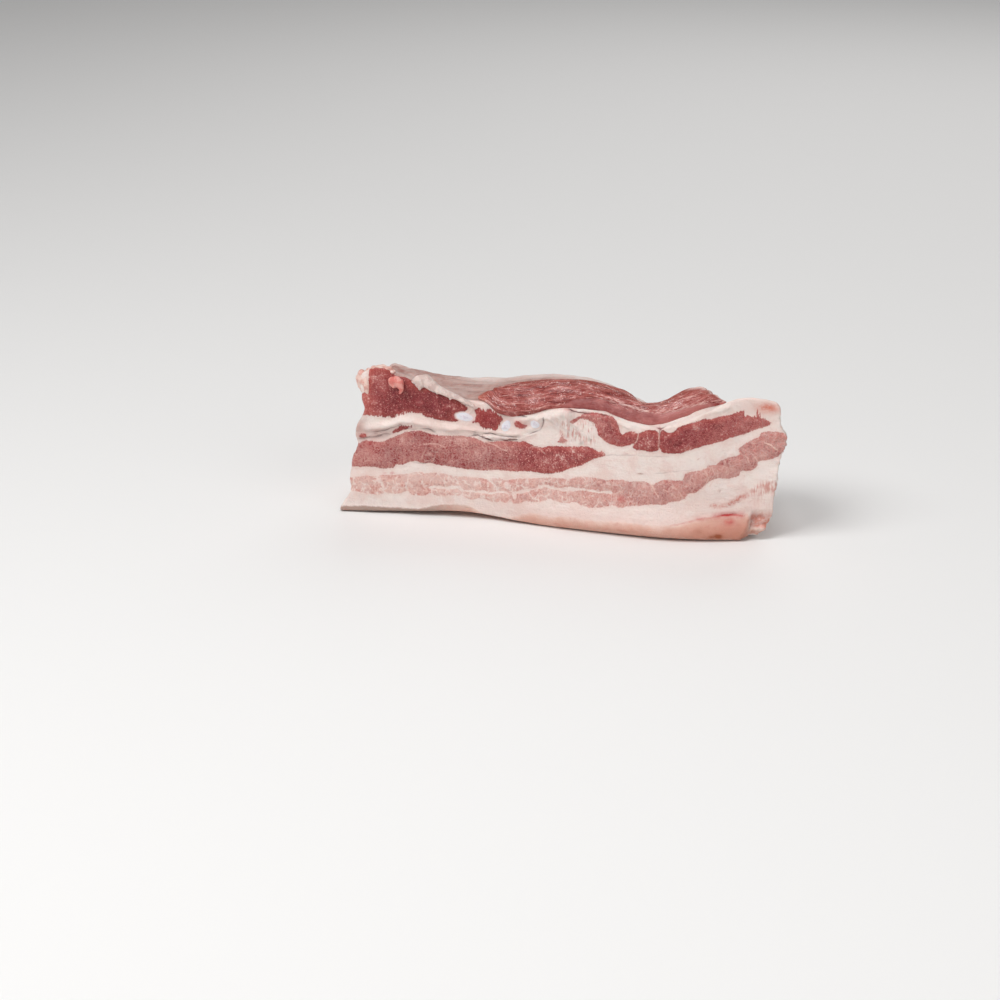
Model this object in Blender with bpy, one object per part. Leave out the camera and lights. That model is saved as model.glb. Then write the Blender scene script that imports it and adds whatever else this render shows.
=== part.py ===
# A thick-cut slab of pork belly, skin down, with one long cut face to the front.
# The slab is one piece of meat, so it is one solid: the body, the strap of skirt muscle along
# its top edge and the ragged scraps at its top left corner are joined by a Boolean union.
#
# Frame: +Z up, X along the slab, -Y towards the cut face that shows the layers.
# The origin is under the middle of the slab, on the surface that it rests on.
# Stations are in millimetres and MM turns them into Blender's metres.

import bisect
import math

import bmesh
import bpy
from mathutils import Matrix, Vector, noise

MM = 0.001
SLAB_NAME = "pork_belly_slab"

# Driving dimensions
LENGTH = 200.0  # along the skin, end to end
FRONT_Y = -25.0  # the plane that the cut face waves about
EDGE_RADIUS = 2.4  # how far the knife edges have softened
GRID_STEP = (3.7, 5.0, 3.3)  # spacing of the body's faces along, through and up the slab
CUT_WAVE = 0.55  # how far the knife wandered on each cut face
LEAN_RELIEF = 1.0  # how far the muscle layers stand proud of the fat
RIND_THICKNESS = 2.3
RIND_END_X = 84.0  # the skin stops short of the right end
RIND_END_STEP = 5.0  # how far the flesh beyond it lies back
RIND_END_LIFT = 2.2  # and how far it stays off the board
RIND_END_Z = 13.0
HALF = LENGTH / 2
BOX_HALVES = (HALF, 24.0, 28.0)  # the plain box that is shaped into the slab

# Height of the top surface along the cut face and along the back
TOP_FRONT = (
    (-100, 61), (-92, 63), (-89, 66.6), (-84, 69), (-78.5, 68.6), (-75, 66.2), (-69, 64.8),
    (-64, 61.8), (-57, 59.8), (-50, 57.6), (-42, 55.5), (-34, 55), (-24, 53.5), (-10, 54),
    (5, 55.5), (18, 55), (30, 52.5), (43, 51), (55, 54), (64, 58.5), (72, 63.2), (80, 65.8),
    (88, 65.6), (94, 64.8), (100, 62),
)
TOP_BACK = (
    (-100, 52), (-88, 56), (-78, 54), (-66, 52.3), (-50, 52), (-36, 52.6), (-20, 54.5), (-5, 55),
    (10, 52.5), (25, 47.5), (40, 43.5), (55, 44), (70, 46.5), (85, 47.5), (100, 45.5),
)
# How fast the top drops from the front height to the back height, as a power of the depth
TOP_DROP = ((-100, 3.4), (-60, 3.0), (-30, 1.6), (20, 1.1), (100, 1.15))
# The skin lifts off the board a little along the front left
SKIN_LIFT = (
    (-100, 0), (-88, 0.7), (-70, 1.6), (-45, 2.9), (-30, 2.0), (-15, 0.8), (2, 0), (100, 0),
)
# The cut face seen from above, as an offset towards the back
FRONT_PLAN = (
    (-100, 0), (-70, 1.5), (-40, 3), (-15, 1), (15, -2), (45, -4), (65, -2.6), (83, 0.5), (100, 1),
)
BACK_Y = ((-100, 23.5), (-60, 25), (-20, 24), (20, 22), (60, 19.5), (100, 17.5))
# The skin splays forward as a rounded foot along the right half
SKIN_FOOT = (
    (-100, 0), (-30, 0), (-12, 0.8), (8, 2.6), (28, 3.8), (55, 3.6), (70, 2.2), (84, 0.6), (100, 0),
)
FOOT_HEIGHT = 3.2
FOOT_SPREAD = 6.0
# Outline of the two ends of the cut face, from the board upwards
LEFT_END = (
    (0, -100.8), (3, -100), (11, -95.6), (16, -96), (26, -94), (32, -92.3), (37, -93.3),
    (42, -92), (48.5, -88.3), (54, -89.4), (60, -90.2), (70, -89.5),
)
RIGHT_END = (
    (0, 86), (3, 88.5), (6, 91.5), (12.5, 94.3), (20, 95), (30, 96.2), (36, 96.6), (41, 98),
    (46, 99.3), (50, 99), (54, 96.6), (60, 96.3), (66, 94.5),
)
LEFT_END_LEAN = 3.5  # the left end leans in towards the back, and the right end by more
RIGHT_END_LEAN = -12.0

# Muscle layers of the cut face: x, lower edge, upper edge. All between them is fat.
STREAKY_LAYER = (
    (-97, 13, 15), (-94, 10.3, 17), (-82, 10, 18), (-68, 11, 21), (-45, 11.8, 20.4),
    (-20, 10.2, 21), (0, 12, 23.2), (27, 12, 24.3), (45, 14.8, 25.5), (57, 19, 29.8),
    (66, 25.5, 33.5), (79, 29, 41), (88, 37, 49.8), (96, 40.5, 52.7), (100, 44, 50),
)
FLANK_LAYER = (
    (-95, 24, 31), (-90, 22, 34), (-78, 22.4, 36.5), (-65, 26, 41.8), (-52, 25.2, 39.4),
    (-36, 24, 38.8), (-16, 25.4, 39.2), (0, 25.9, 38.2), (10, 30.5, 38.6), (21, 35.3, 36),
)
RIB_LAYER = (
    (-93, 49, 70), (-87, 47, 70), (-76, 46.5, 70), (-68, 49.3, 64), (-61, 48, 60),
    (-52, 46.4, 58), (-44, 47, 53),
)
LOIN_END_LAYER = (
    (4, 50, 50.6), (9, 49, 53.6), (16, 46, 54), (24, 41.3, 50.5), (30, 40, 46.5),
    (40, 38.9, 48.3), (50, 38, 48), (59, 41.5, 53), (71, 45.5, 57), (82, 50.5, 59.2),
    (88, 53.4, 59.8), (92.5, 55.3, 55.6),
)
MUSCLE_LAYERS = (STREAKY_LAYER, FLANK_LAYER, RIB_LAYER, LOIN_END_LAYER)

# The strap of skirt muscle: x, y and z of its middle, half width, half thickness
STRAP_STATIONS = (
    (-40, -19.5, 56.0, 1.6, 1.0), (-35, -19.0, 57.0, 5.0, 2.4), (-27, -18.6, 57.8, 7.8, 3.7),
    (-15, -18.4, 58.3, 9.2, 4.5), (0, -18.8, 59.6, 9.6, 4.8), (14, -19.6, 59.4, 9.3, 4.8),
    (26, -20.8, 57.2, 8.2, 4.4), (36, -21.6, 55.1, 7.3, 4.0), (45, -21.6, 54.8, 7.4, 3.9),
    (54, -20.6, 57.8, 8.6, 4.0), (61, -19.4, 60.0, 8.2, 3.6), (67, -18.9, 60.6, 5.0, 2.6),
    (72, -18.6, 60.4, 1.2, 1.0),
)
STRAP_TILT = 42.0  # degrees that its width leans up from level
STRAP_SIDES = 16
STRAP_STEP = 3.6

# What is grown on to the cut face and the top edge: the ragged scraps of the top corners and
# the round ends of the rib gristle. Name, material, centre x, y, z and the three half sizes.
GROWN_ON = (
    ("corner_lobe", "fat", (-88.0, -21.4, 61.6), (4.0, 4.6, 5.6)),
    ("corner_shoulder", "fat", (-84.2, -20.4, 65.4), (5.2, 4.6, 3.4)),
    ("pink_tuft", "lean_pale", (-73.2, -24.0, 62.4), (3.6, 3.2, 4.4)),
    ("fat_tuft", "fat", (-61.6, -20.6, 62.2), (5.4, 4.0, 4.3)),
    ("back_corner", "fat", (-84.5, 19.6, 52.6), (5.6, 4.6, 4.2)),
    ("back_ridge", "fat", (-14.0, 19.0, 53.0), (13.0, 4.2, 2.8)),
    ("rib_end_left", "gristle", (-42.5, -22.6, 49.0), (4.2, 1.6, 2.3)),
    ("rib_end_middle", "gristle", (-24.0, -23.4, 45.4), (2.6, 1.6, 2.9)),
    ("rib_end_right", "gristle", (-11.5, -23.9, 47.4), (3.2, 1.5, 3.2)),
)
SCRAP_LUMPS = 0.32  # how uneven they are
# The silvery strand that runs down from the fat tuft along the muscle's edge: x, y, z, radius
STRAND = (
    (-64, -21.2, 62.8, 2.4), (-57, -21.8, 60.4, 2.0), (-50, -22.0, 58.2, 1.5),
    (-43, -21.4, 56.4, 1.1), (-36, -20.0, 55.6, 0.8),
)

MATERIALS = {
    "fat": ((0.78, 0.66, 0.61), 0.42),
    "lean_dark": ((0.26, 0.07, 0.07), 0.38),
    "lean": ((0.36, 0.12, 0.12), 0.38),
    "lean_pale": ((0.60, 0.34, 0.30), 0.42),
    "rind": ((0.58, 0.30, 0.23), 0.50),
    "gristle": ((0.70, 0.67, 0.71), 0.35),
}


def clear_scene():
    for obj in list(bpy.data.objects):
        bpy.data.objects.remove(obj)


def along(stations, place, column=1):
    """The value at a place of a smooth curve through the stations."""
    places = [station[0] for station in stations]
    if place <= places[0]:
        return stations[0][column]
    if place >= places[-1]:
        return stations[-1][column]
    i = bisect.bisect_right(places, place) - 1

    def slope(k):
        a, b = max(k - 1, 0), min(k + 1, len(stations) - 1)
        return (stations[b][column] - stations[a][column]) / (places[b] - places[a])

    span = places[i + 1] - places[i]
    t = (place - places[i]) / span
    start, end = stations[i][column], stations[i + 1][column]
    bend = t * (1 - t) * ((1 - t) * slope(i) - t * slope(i + 1)) * span
    return start + (end - start) * t * t * (3 - 2 * t) + bend


def smooth(low, high, value):
    t = min(max((value - low) / (high - low), 0.0), 1.0)
    return t * t * (3 - 2 * t)


def lean_share(x, z):
    """0 in the fat, 1 in the middle of a muscle layer."""
    share = 0.0
    for layer in MUSCLE_LAYERS:
        if layer[0][0] < x < layer[-1][0]:
            low, high = along(layer, x, 1), along(layer, x, 2)
            inside = min(z - low, high - z)
            share = max(share, smooth(-0.6, 2.2, inside))
    return share


def waviness(x, z, seed):
    return noise.noise(Vector((x / 17, seed, z / 13))) + 0.5 * noise.noise(Vector((x / 7, seed, z / 6)))


def top_height(x, depth):
    drop = (1 - depth) ** along(TOP_DROP, x)
    front, back = along(TOP_FRONT, x), along(TOP_BACK, x)
    ripple = 0.7 * noise.noise(Vector((x / 11, depth * 4, 5.3)))
    return back + (front - back) * drop + ripple * smooth(0, 0.25, depth)


def bottom_height(x, depth):
    lift = max(along(SKIN_LIFT, x), 0) + RIND_END_LIFT * beyond_rind(x, 0)
    return lift * (1 - smooth(0.0, 0.4, depth))


def beyond_rind(x, z):
    """1 on the bare flesh past the clean end of the skin, 0 elsewhere."""
    return smooth(RIND_END_X - 0.5, RIND_END_X + 2, x) * (1 - smooth(RIND_END_Z - 2, RIND_END_Z + 1, z))


def front_face(x, z):
    foot = along(SKIN_FOOT, x) * math.exp(-(((z - FOOT_HEIGHT) / FOOT_SPREAD) ** 2))
    relief = LEAN_RELIEF * lean_share(x, z) + CUT_WAVE * waviness(x, z, 1.7)
    return FRONT_Y + along(FRONT_PLAN, x) - foot + RIND_END_STEP * beyond_rind(x, z) - relief


def back_face(x, z):
    relief = LEAN_RELIEF * lean_share(x, z) + CUT_WAVE * waviness(x, z, 9.1)
    return along(BACK_Y, x) - 1.5 * ((z - 25) / 30) ** 2 + relief


def rounded(place, half_sizes):
    """A point of a sharp box moved on to the same box with rounded edges."""
    inner = Vector(
        [min(max(p, EDGE_RADIUS - half), half - EDGE_RADIUS) for p, half in zip(place, half_sizes)]
    )
    out = place - inner
    return inner + out.normalized() * EDGE_RADIUS if out.length > 1e-6 else place


def grid_places(half, step):
    """Where a box is sliced: close to its edges for the rounding, and evenly between."""
    inner = half - EDGE_RADIUS
    count = round(2 * inner / step)
    even = [-inner + 2 * inner * i / count for i in range(count + 1)]
    return [-half + 0.8] + even + [half - 0.8]


def finished_mesh(name, bm):
    """Triangles are flat, so the union cuts them cleanly."""
    bmesh.ops.triangulate(bm, faces=bm.faces)
    mesh = bpy.data.meshes.new(name)
    bm.to_mesh(mesh)
    bm.free()
    return mesh


def box_grid(half_sizes, steps):
    """A box primitive, sliced along its three axes so that it can be shaped."""
    bm = bmesh.new()
    bmesh.ops.create_cube(bm, size=2.0)
    bmesh.ops.scale(bm, vec=Vector(half_sizes), verts=bm.verts)
    for axis in range(3):
        normal = Vector([float(axis == k) for k in range(3)])
        for place in grid_places(half_sizes[axis], steps[axis]):
            everything = bm.verts[:] + bm.edges[:] + bm.faces[:]
            bmesh.ops.bisect_plane(bm, geom=everything, plane_co=normal * place, plane_no=normal)
    return bm


def place_of(share, depth, rise):
    """Where a point of the slab lies: shares of the way along, through and up it."""
    x = HALF * (2 * share - 1)
    for _ in range(3):
        bottom = bottom_height(x, depth)
        z = bottom + (top_height(x, depth) - bottom) * rise
        left = along(LEFT_END, z) + LEFT_END_LEAN * depth
        right = along(RIGHT_END, z) + RIGHT_END_LEAN * depth
        x = left + (right - left) * share
    front, back = front_face(x, z), back_face(x, z)
    return Vector((x, front + (back - front) * depth, z))


def make_body(collection):
    bm = box_grid(BOX_HALVES, GRID_STEP)
    for vertex in bm.verts:
        place = rounded(vertex.co, BOX_HALVES)
        shares = [(p / half + 1) / 2 for p, half in zip(place, BOX_HALVES)]
        vertex.co = place_of(*shares) * MM
    mesh = finished_mesh("slab_body", bm)
    paint(mesh)
    body = bpy.data.objects.new("slab_body", mesh)
    collection.objects.link(body)
    return body


def make_strap(collection):
    """The skirt muscle: a flattened bar swept along its stations, thin at both tips."""
    first, last = STRAP_STATIONS[0][0], STRAP_STATIONS[-1][0]
    bm = bmesh.new()
    bmesh.ops.create_cone(
        bm, cap_ends=True, segments=STRAP_SIDES, radius1=1.0, radius2=1.0, depth=last - first,
        matrix=Matrix.Translation(((first + last) / 2, 0, 0)) @ Matrix.Rotation(math.radians(90), 4, "Y"),
    )
    count = round((last - first) / STRAP_STEP)
    for i in range(1, count):
        cut = Vector((first + (last - first) * i / count, 0, 0))
        everything = bm.verts[:] + bm.edges[:] + bm.faces[:]
        bmesh.ops.bisect_plane(bm, geom=everything, plane_co=cut, plane_no=(1, 0, 0))
    tilt = math.radians(STRAP_TILT)
    across = Vector((0, math.cos(tilt), math.sin(tilt)))
    outward = Vector((0, -math.sin(tilt), math.cos(tilt)))
    for vertex in bm.verts:
        x, a, b = vertex.co
        middle = Vector((x, along(STRAP_STATIONS, x, 1), along(STRAP_STATIONS, x, 2)))
        width, thickness = along(STRAP_STATIONS, x, 3), along(STRAP_STATIONS, x, 4)
        ripple = 1 + 0.08 * noise.noise(Vector((x / 8, a * 2, b * 2)))
        vertex.co = (middle + across * a * width * ripple + outward * b * thickness * ripple) * MM
    mesh = finished_mesh("skirt_strap", bm)
    mesh.materials.append(bpy.data.materials["lean"])
    collection.objects.link(bpy.data.objects.new("skirt_strap", mesh))


def make_grown_on(collection):
    for name, material, centre, half_sizes in GROWN_ON:
        bm = bmesh.new()
        bmesh.ops.create_uvsphere(bm, u_segments=12, v_segments=8, radius=1.0)
        for vertex in bm.verts:
            lumps = 1 + SCRAP_LUMPS * noise.noise(vertex.co * 1.6 + Vector(centre))
            vertex.co = Vector([c + p * h * lumps for c, p, h in zip(centre, vertex.co, half_sizes)]) * MM
        mesh = finished_mesh(name, bm)
        mesh.materials.append(bpy.data.materials[material])
        collection.objects.link(bpy.data.objects.new(name, mesh))


def make_strand(collection):
    curve = bpy.data.curves.new("fat_strand", "CURVE")
    curve.dimensions = "3D"
    curve.bevel_depth = MM
    curve.bevel_resolution = 2
    curve.use_fill_caps = True
    spline = curve.splines.new("POLY")
    steps = 12
    spline.points.add(steps)
    first, last = STRAND[0][0], STRAND[-1][0]
    for i, point in enumerate(spline.points):
        x = first + (last - first) * i / steps
        point.co = (x * MM, along(STRAND, x, 1) * MM, along(STRAND, x, 2) * MM, 1.0)
        point.radius = along(STRAND, x, 3)
    guide = bpy.data.objects.new("fat_strand_curve", curve)
    collection.objects.link(guide)
    bpy.context.view_layer.update()
    evaluated = guide.evaluated_get(bpy.context.evaluated_depsgraph_get())
    bm = bmesh.new()
    bm.from_mesh(bpy.data.meshes.new_from_object(evaluated))
    bmesh.ops.remove_doubles(bm, verts=bm.verts, dist=0.00002)
    mesh = finished_mesh("fat_strand", bm)
    mesh.materials.append(bpy.data.materials["fat"])
    strand = bpy.data.objects.new("fat_strand", mesh)
    strand.matrix_world = guide.matrix_world
    bpy.data.objects.remove(guide)
    collection.objects.link(strand)


def join_pieces(body, pieces):
    """One Boolean union turns the body and all that grows from it into one solid."""
    union = body.modifiers.new("grown_together", "BOOLEAN")
    union.operation = "UNION"
    union.operand_type = "COLLECTION"
    union.collection = pieces
    union.solver = "EXACT"
    union.material_mode = "TRANSFER"
    bpy.context.view_layer.update()
    evaluated = body.evaluated_get(bpy.context.evaluated_depsgraph_get())
    mesh = bpy.data.meshes.new_from_object(evaluated)
    body.modifiers.remove(union)
    for piece in list(pieces.objects):
        bpy.data.objects.remove(piece)
    bpy.data.collections.remove(pieces)
    body.data = mesh
    mesh.name = SLAB_NAME
    body.name = SLAB_NAME


def meat_material(name, colour, roughness):
    material = bpy.data.materials.new(name)
    material.use_nodes = True
    shader = material.node_tree.nodes["Principled BSDF"]
    shader.inputs["Base Color"].default_value = (*colour, 1.0)
    shader.inputs["Roughness"].default_value = roughness
    shader.inputs["Metallic"].default_value = 0.0


def kind_of(place, normal):
    """Which kind of meat shows at a place of the body's surface."""
    x, y, z = place / MM
    below_fat_line = z < RIND_THICKNESS + 2.5 * along(SKIN_FOOT, x)
    if normal.z < -0.6 or (below_fat_line and y < 0 and x < RIND_END_X):
        return "rind"
    if lean_share(x, z) < 0.35 or normal.z > 0.7:
        return "fat"
    if z > 46 and x < -20:
        return "lean_dark"
    if z < along(STREAKY_LAYER, x, 2) + 0.5:
        return "lean_pale"
    return "lean"


def paint(mesh):
    names = list(MATERIALS)
    for name in names:
        mesh.materials.append(bpy.data.materials[name])
    for face in mesh.polygons:
        face.material_index = names.index(kind_of(face.center, face.normal))


def stand_at_origin(slab):
    """The origin goes under the middle of the slab, on the surface that it rests on."""
    corners = [Vector(corner) for corner in slab.bound_box]
    low = Vector([min(corner[k] for corner in corners) for k in range(3)])
    high = Vector([max(corner[k] for corner in corners) for k in range(3)])
    middle = (low + high) / 2
    slab.data.transform(Matrix.Translation((-middle.x, -middle.y, -low.z)))


def main():
    clear_scene()
    parts = bpy.data.collections.new("pork belly slab")
    bpy.context.scene.collection.children.link(parts)
    grown_on = bpy.data.collections.new("grown on")
    bpy.context.scene.collection.children.link(grown_on)
    for name, (colour, roughness) in MATERIALS.items():
        meat_material(name, colour, roughness)
    slab = make_body(parts)
    make_strap(grown_on)
    make_grown_on(grown_on)
    make_strand(grown_on)
    join_pieces(slab, grown_on)
    stand_at_origin(slab)
    slab.data.shade_smooth()
    slab.data.set_sharp_from_angle(angle=math.radians(50))


main()
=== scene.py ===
# A raw pork belly slab on a pale table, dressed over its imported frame.
# Lengths are in millimetres on the slab's own plan: x along it, y into it, z up from the table.
import math

import bmesh
import bpy
import numpy as np
from mathutils import Matrix, Vector, noise


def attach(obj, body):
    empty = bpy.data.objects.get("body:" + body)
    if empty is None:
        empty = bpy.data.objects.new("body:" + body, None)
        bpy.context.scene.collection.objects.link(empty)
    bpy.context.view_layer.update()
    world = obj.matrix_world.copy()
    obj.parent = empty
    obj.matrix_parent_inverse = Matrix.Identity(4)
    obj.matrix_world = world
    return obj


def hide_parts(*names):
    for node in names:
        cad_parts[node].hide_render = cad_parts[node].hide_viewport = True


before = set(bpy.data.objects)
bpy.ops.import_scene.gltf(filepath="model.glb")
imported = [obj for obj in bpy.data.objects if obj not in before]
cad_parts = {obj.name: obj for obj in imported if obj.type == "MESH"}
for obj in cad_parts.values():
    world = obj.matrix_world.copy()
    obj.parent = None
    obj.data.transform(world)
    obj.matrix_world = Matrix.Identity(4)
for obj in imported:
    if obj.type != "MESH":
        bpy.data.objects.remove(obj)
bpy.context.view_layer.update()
nodeName = "pork_belly_slab"
mm = 0.001
planShift = np.array((-0.669, -3.174, 0.0))  # the frame's origin, as a place on the plan


def toFrame(points):
    return (np.asarray(points, float) - planShift) * mm


def smooth(low, high, value):
    t = np.clip((value - low) / (high - low), 0, 1)
    return t * t * (3 - 2 * t)


def bell(distance, width):
    return np.exp(-((distance / width) ** 2))


def spotAt(x, z, centre, halfSizes):
    # 1 in the middle of an oval, fading outwards
    return bell(np.hypot((x - centre[0]) / halfSizes[0], (z - centre[1]) / halfSizes[1]), 1)


def through(stations, place, column=1):
    # a smooth curve through the stations, read at many places at once
    table = np.array(stations, float)
    xs, ys = table[:, 0], table[:, column]
    last = len(xs) - 1
    before, after = np.maximum(np.arange(last + 1) - 1, 0), np.minimum(np.arange(last + 1) + 1, last)
    slope = (ys[after] - ys[before]) / (xs[after] - xs[before])
    i = np.clip(np.searchsorted(xs, place, "right") - 1, 0, last - 1)
    span = xs[i + 1] - xs[i]
    t = np.clip((place - xs[i]) / span, 0, 1)
    bend = t * (1 - t) * ((1 - t) * slope[i] - t * slope[i + 1]) * span
    return ys[i] + (ys[i + 1] - ys[i]) * t * t * (3 - 2 * t) + bend


def cloud(points, size, seed):
    # soft noise from -1 to 1; size may differ along x, y and z
    scaled = np.asarray(points, float) / size + seed * 13.7
    return np.array([noise.noise(place) for place in scaled.tolist()])


def fromStretch(start, end, x, z):
    # distance to one straight stretch of a line
    (ax, az), (bx, bz) = start, end
    t = np.clip(((x - ax) * (bx - ax) + (z - az) * (bz - az)) / ((bx - ax) ** 2 + (bz - az) ** 2), 0, 1)
    return np.hypot(x - ax - t * (bx - ax), z - az - t * (bz - az))


def awayFrom(line, x, z):
    # distance to an open line of points
    nearest = np.full(x.shape, 1e9)
    for start, end in zip(line, line[1:]):
        nearest = np.minimum(nearest, fromStretch(start, end, x, z))
    return nearest


def insideBy(outline, x, z):
    # how far a place lies inside an outline; negative outside
    closed = outline + outline[:1]
    inside = np.zeros(x.shape, bool)
    for (ax, az), (bx, bz) in zip(closed, closed[1:]):
        if az != bz:
            inside ^= ((az > z) != (bz > z)) & (x < ax + (z - az) * (bx - ax) / (bz - az))
    nearest = awayFrom(closed, x, z)
    return np.where(inside, nearest, -nearest)


def besideLines(lines, x, z):
    # for the nearest of some drawn lines: which side and how far, and its strength close by
    nearest, side, share = np.full(x.shape, 1e9), np.full(x.shape, 3.0), np.zeros(x.shape)
    for strength, line in lines:
        for start, end in zip(line, line[1:]):
            away = fromStretch(start, end, x, z)
            (ax, az), (bx, bz) = start, end
            across = ((x - ax) * (bz - az) - (z - az) * (bx - ax)) / math.hypot(bx - ax, bz - az)
            closer = away < nearest
            nearest = np.where(closer, away, nearest)
            side = np.where(closer, np.clip(across, -3, 3), side)
            share = np.where(closer, strength * (1 - smooth(0.9, 1.8, away)), share)
    return side, share


def closedGrid(counts):
    # lattice places on the skin of a box, and its outward quads
    nx, ny, nz = counts
    number = np.arange(nx * ny * nz).reshape(nx, ny, nz)

    def sheet(grid, turn):
        a, b, c, d = grid[:-1, :-1], grid[1:, :-1], grid[1:, 1:], grid[:-1, 1:]
        corners = (a, b, c, d) if turn else (a, d, c, b)
        return np.stack([corner.ravel() for corner in corners], 1)

    quads = np.concatenate([
        sheet(number[:, 0, :], True), sheet(number[:, -1, :], False),
        sheet(number[:, :, 0], False), sheet(number[:, :, -1], True),
        sheet(number[0], False), sheet(number[-1], True),
    ])
    used, quads = np.unique(quads, return_inverse=True)
    return np.stack(np.unravel_index(used, counts), 1), quads.reshape(-1, 4)


def linked(name, data):
    thing = bpy.data.objects.new(name, data)
    bpy.context.scene.collection.objects.link(thing)
    return thing


def newPiece(name, points, faces, finish):
    mesh = bpy.data.meshes.new(name)
    mesh.from_pydata(toFrame(points).tolist(), [], [list(face) for face in faces])
    mesh.update()
    mesh.materials.append(finish)
    mesh.shade_smooth()
    return linked(name, mesh)


def readPoints(mesh, key):
    values = np.zeros(len(mesh.vertices) * 3)
    mesh.vertices.foreach_get(key, values)
    return values.reshape(-1, 3)


def movePoints(mesh, points):
    mesh.vertices.foreach_set("co", toFrame(points).ravel())
    mesh.update()


def paintPoints(mesh, layers):
    for name, values in layers.items():
        attribute = mesh.attributes.new(name, "FLOAT", "POINT")
        attribute.data.foreach_set("value", np.asarray(values, np.float32))


def faceOutwards(mesh):
    bm = bmesh.new()
    bm.from_mesh(mesh)
    bmesh.ops.recalc_face_normals(bm, faces=bm.faces)
    bm.to_mesh(mesh)
    bm.free()


def plainMesh(holder, name):
    # what the modifiers make of an object, as a mesh of its own
    bpy.context.view_layer.update()
    mesh = bpy.data.meshes.new_from_object(holder.evaluated_get(bpy.context.evaluated_depsgraph_get()))
    mesh.name = name
    return mesh


def fasten(piece):
    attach(piece, "root")
    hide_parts(nodeName)


def tint(red, green, blue):
    linear = [(c / 255 / 12.92) if c <= 10 else ((c / 255 + 0.055) / 1.055) ** 2.4 for c in (red, green, blue)]
    return (*linear, 1.0)


# A socket that does sums, and a material that grows nodes from them
class Wire:
    def __init__(self, finish, socket):
        self.finish = finish
        self.socket = socket

    def sum(self, operation, first, second):
        return self.finish.sum(operation, first, second)

    def __add__(self, other):
        return self.sum("ADD", self, other)

    def __radd__(self, other):
        return self.sum("ADD", other, self)

    def __sub__(self, other):
        return self.sum("SUBTRACT", self, other)

    def __rsub__(self, other):
        return self.sum("SUBTRACT", other, self)

    def __mul__(self, other):
        return self.sum("MULTIPLY", self, other)

    def __rmul__(self, other):
        return self.sum("MULTIPLY", other, self)


class Finish:
    def __init__(self, name, palette=None):
        self.material = bpy.data.materials.new(name)
        self.material.use_nodes = True
        self.tree = self.material.node_tree
        self.shader = self.tree.nodes["Principled BSDF"]
        self.palette = palette

    def add(self, kind, settings=None, values=None, output=0):
        node = self.tree.nodes.new(kind)
        for key, value in (settings or {}).items():
            if key == "stops":
                while len(node.color_ramp.elements) < len(value):
                    node.color_ramp.elements.new(1.0)
                for element, (place, colour) in zip(node.color_ramp.elements, value):
                    element.position, element.color = place, colour
            else:
                setattr(node, key, value)
        for key, value in (values or {}).items():
            if isinstance(value, Wire):
                self.tree.links.new(value.socket, node.inputs[key])
            else:
                node.inputs[key].default_value = self.palette[value] if isinstance(value, str) else value
        return Wire(self, node.outputs[output])

    def sum(self, operation, first, second):
        return self.add("ShaderNodeMath", {"operation": operation}, {0: first, 1: second})

    def painted(self, name):
        return self.add("ShaderNodeAttribute", {"attribute_name": name}, output="Fac")

    def place(self, stretch=(1, 1, 1)):
        # Object coordinates in millimetres, squeezed where a pattern is long
        inMetres = self.add("ShaderNodeTexCoord", output="Object")
        size = [1000 / s for s in stretch]
        return self.add("ShaderNodeVectorMath", {"operation": "MULTIPLY"}, {0: inMetres, 1: size})

    def grain(self, where, size, detail=1.0):
        return self.add("ShaderNodeTexNoise", {}, {"Vector": where, "Scale": 1 / size, "Detail": detail})

    def stirred(self, where, size, reach):
        # the same places, pushed about by soft noise
        push = self.add("ShaderNodeTexNoise", {}, {"Vector": where, "Scale": 1 / size, "Detail": 1.0}, "Color")
        return self.add("ShaderNodeVectorMath", {"operation": "MULTIPLY_ADD"}, {0: push, 1: (reach,) * 3, 2: where})

    def cells(self, where, size, feature="DISTANCE_TO_EDGE"):
        # 0 on the walls between the cells, about 0.5 in their middles
        return self.add("ShaderNodeTexVoronoi", {"feature": feature}, {"Vector": where, "Scale": 1 / size})

    def step(self, value, low, high):
        values = {"Value": value, "From Min": low, "From Max": high}
        return self.add("ShaderNodeMapRange", {"interpolation_type": "SMOOTHSTEP"}, values)

    def drawn(self, side, low, high, strength):
        # a soft line where the distance to it passes 0
        return (1 - self.step(side * side, low, high)) * self.painted(strength)

    def blend(self, share, first, second):
        settings = {"data_type": "RGBA", "blend_type": "MIX", "clamp_factor": True}
        return self.add("ShaderNodeMix", settings, {0: share, 6: first, 7: second}, output=2)

    def layered(self, colour, layers):
        for share, over in layers:
            colour = self.blend(share, colour, over)
        return colour

    def ramp(self, value, name):
        return self.add("ShaderNodeValToRGB", {"stops": self.palette[name]}, {0: value})

    def lift(self, height, depth):
        # height is 0 to 1 or so, depth its size in millimetres
        return self.add("ShaderNodeBump", {}, {"Height": height, "Distance": depth * mm, "Strength": 1.0})

    def join(self, links, constants):
        for name, value in links.items():
            self.tree.links.new(value.socket, self.shader.inputs[name])
        for name, value in constants.items():
            self.shader.inputs[name].default_value = value
        return self.material


softFlesh = {
    "Metallic": 0.0,
    "Specular IOR Level": 0.42,
    "Subsurface Weight": 0.20,
    "Subsurface Radius": (1.0, 0.42, 0.32),
    "Subsurface Scale": 0.0012,
    "Coat Roughness": 0.14,
    "Coat IOR": 1.36,
    "IOR": 1.4,
}

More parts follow.
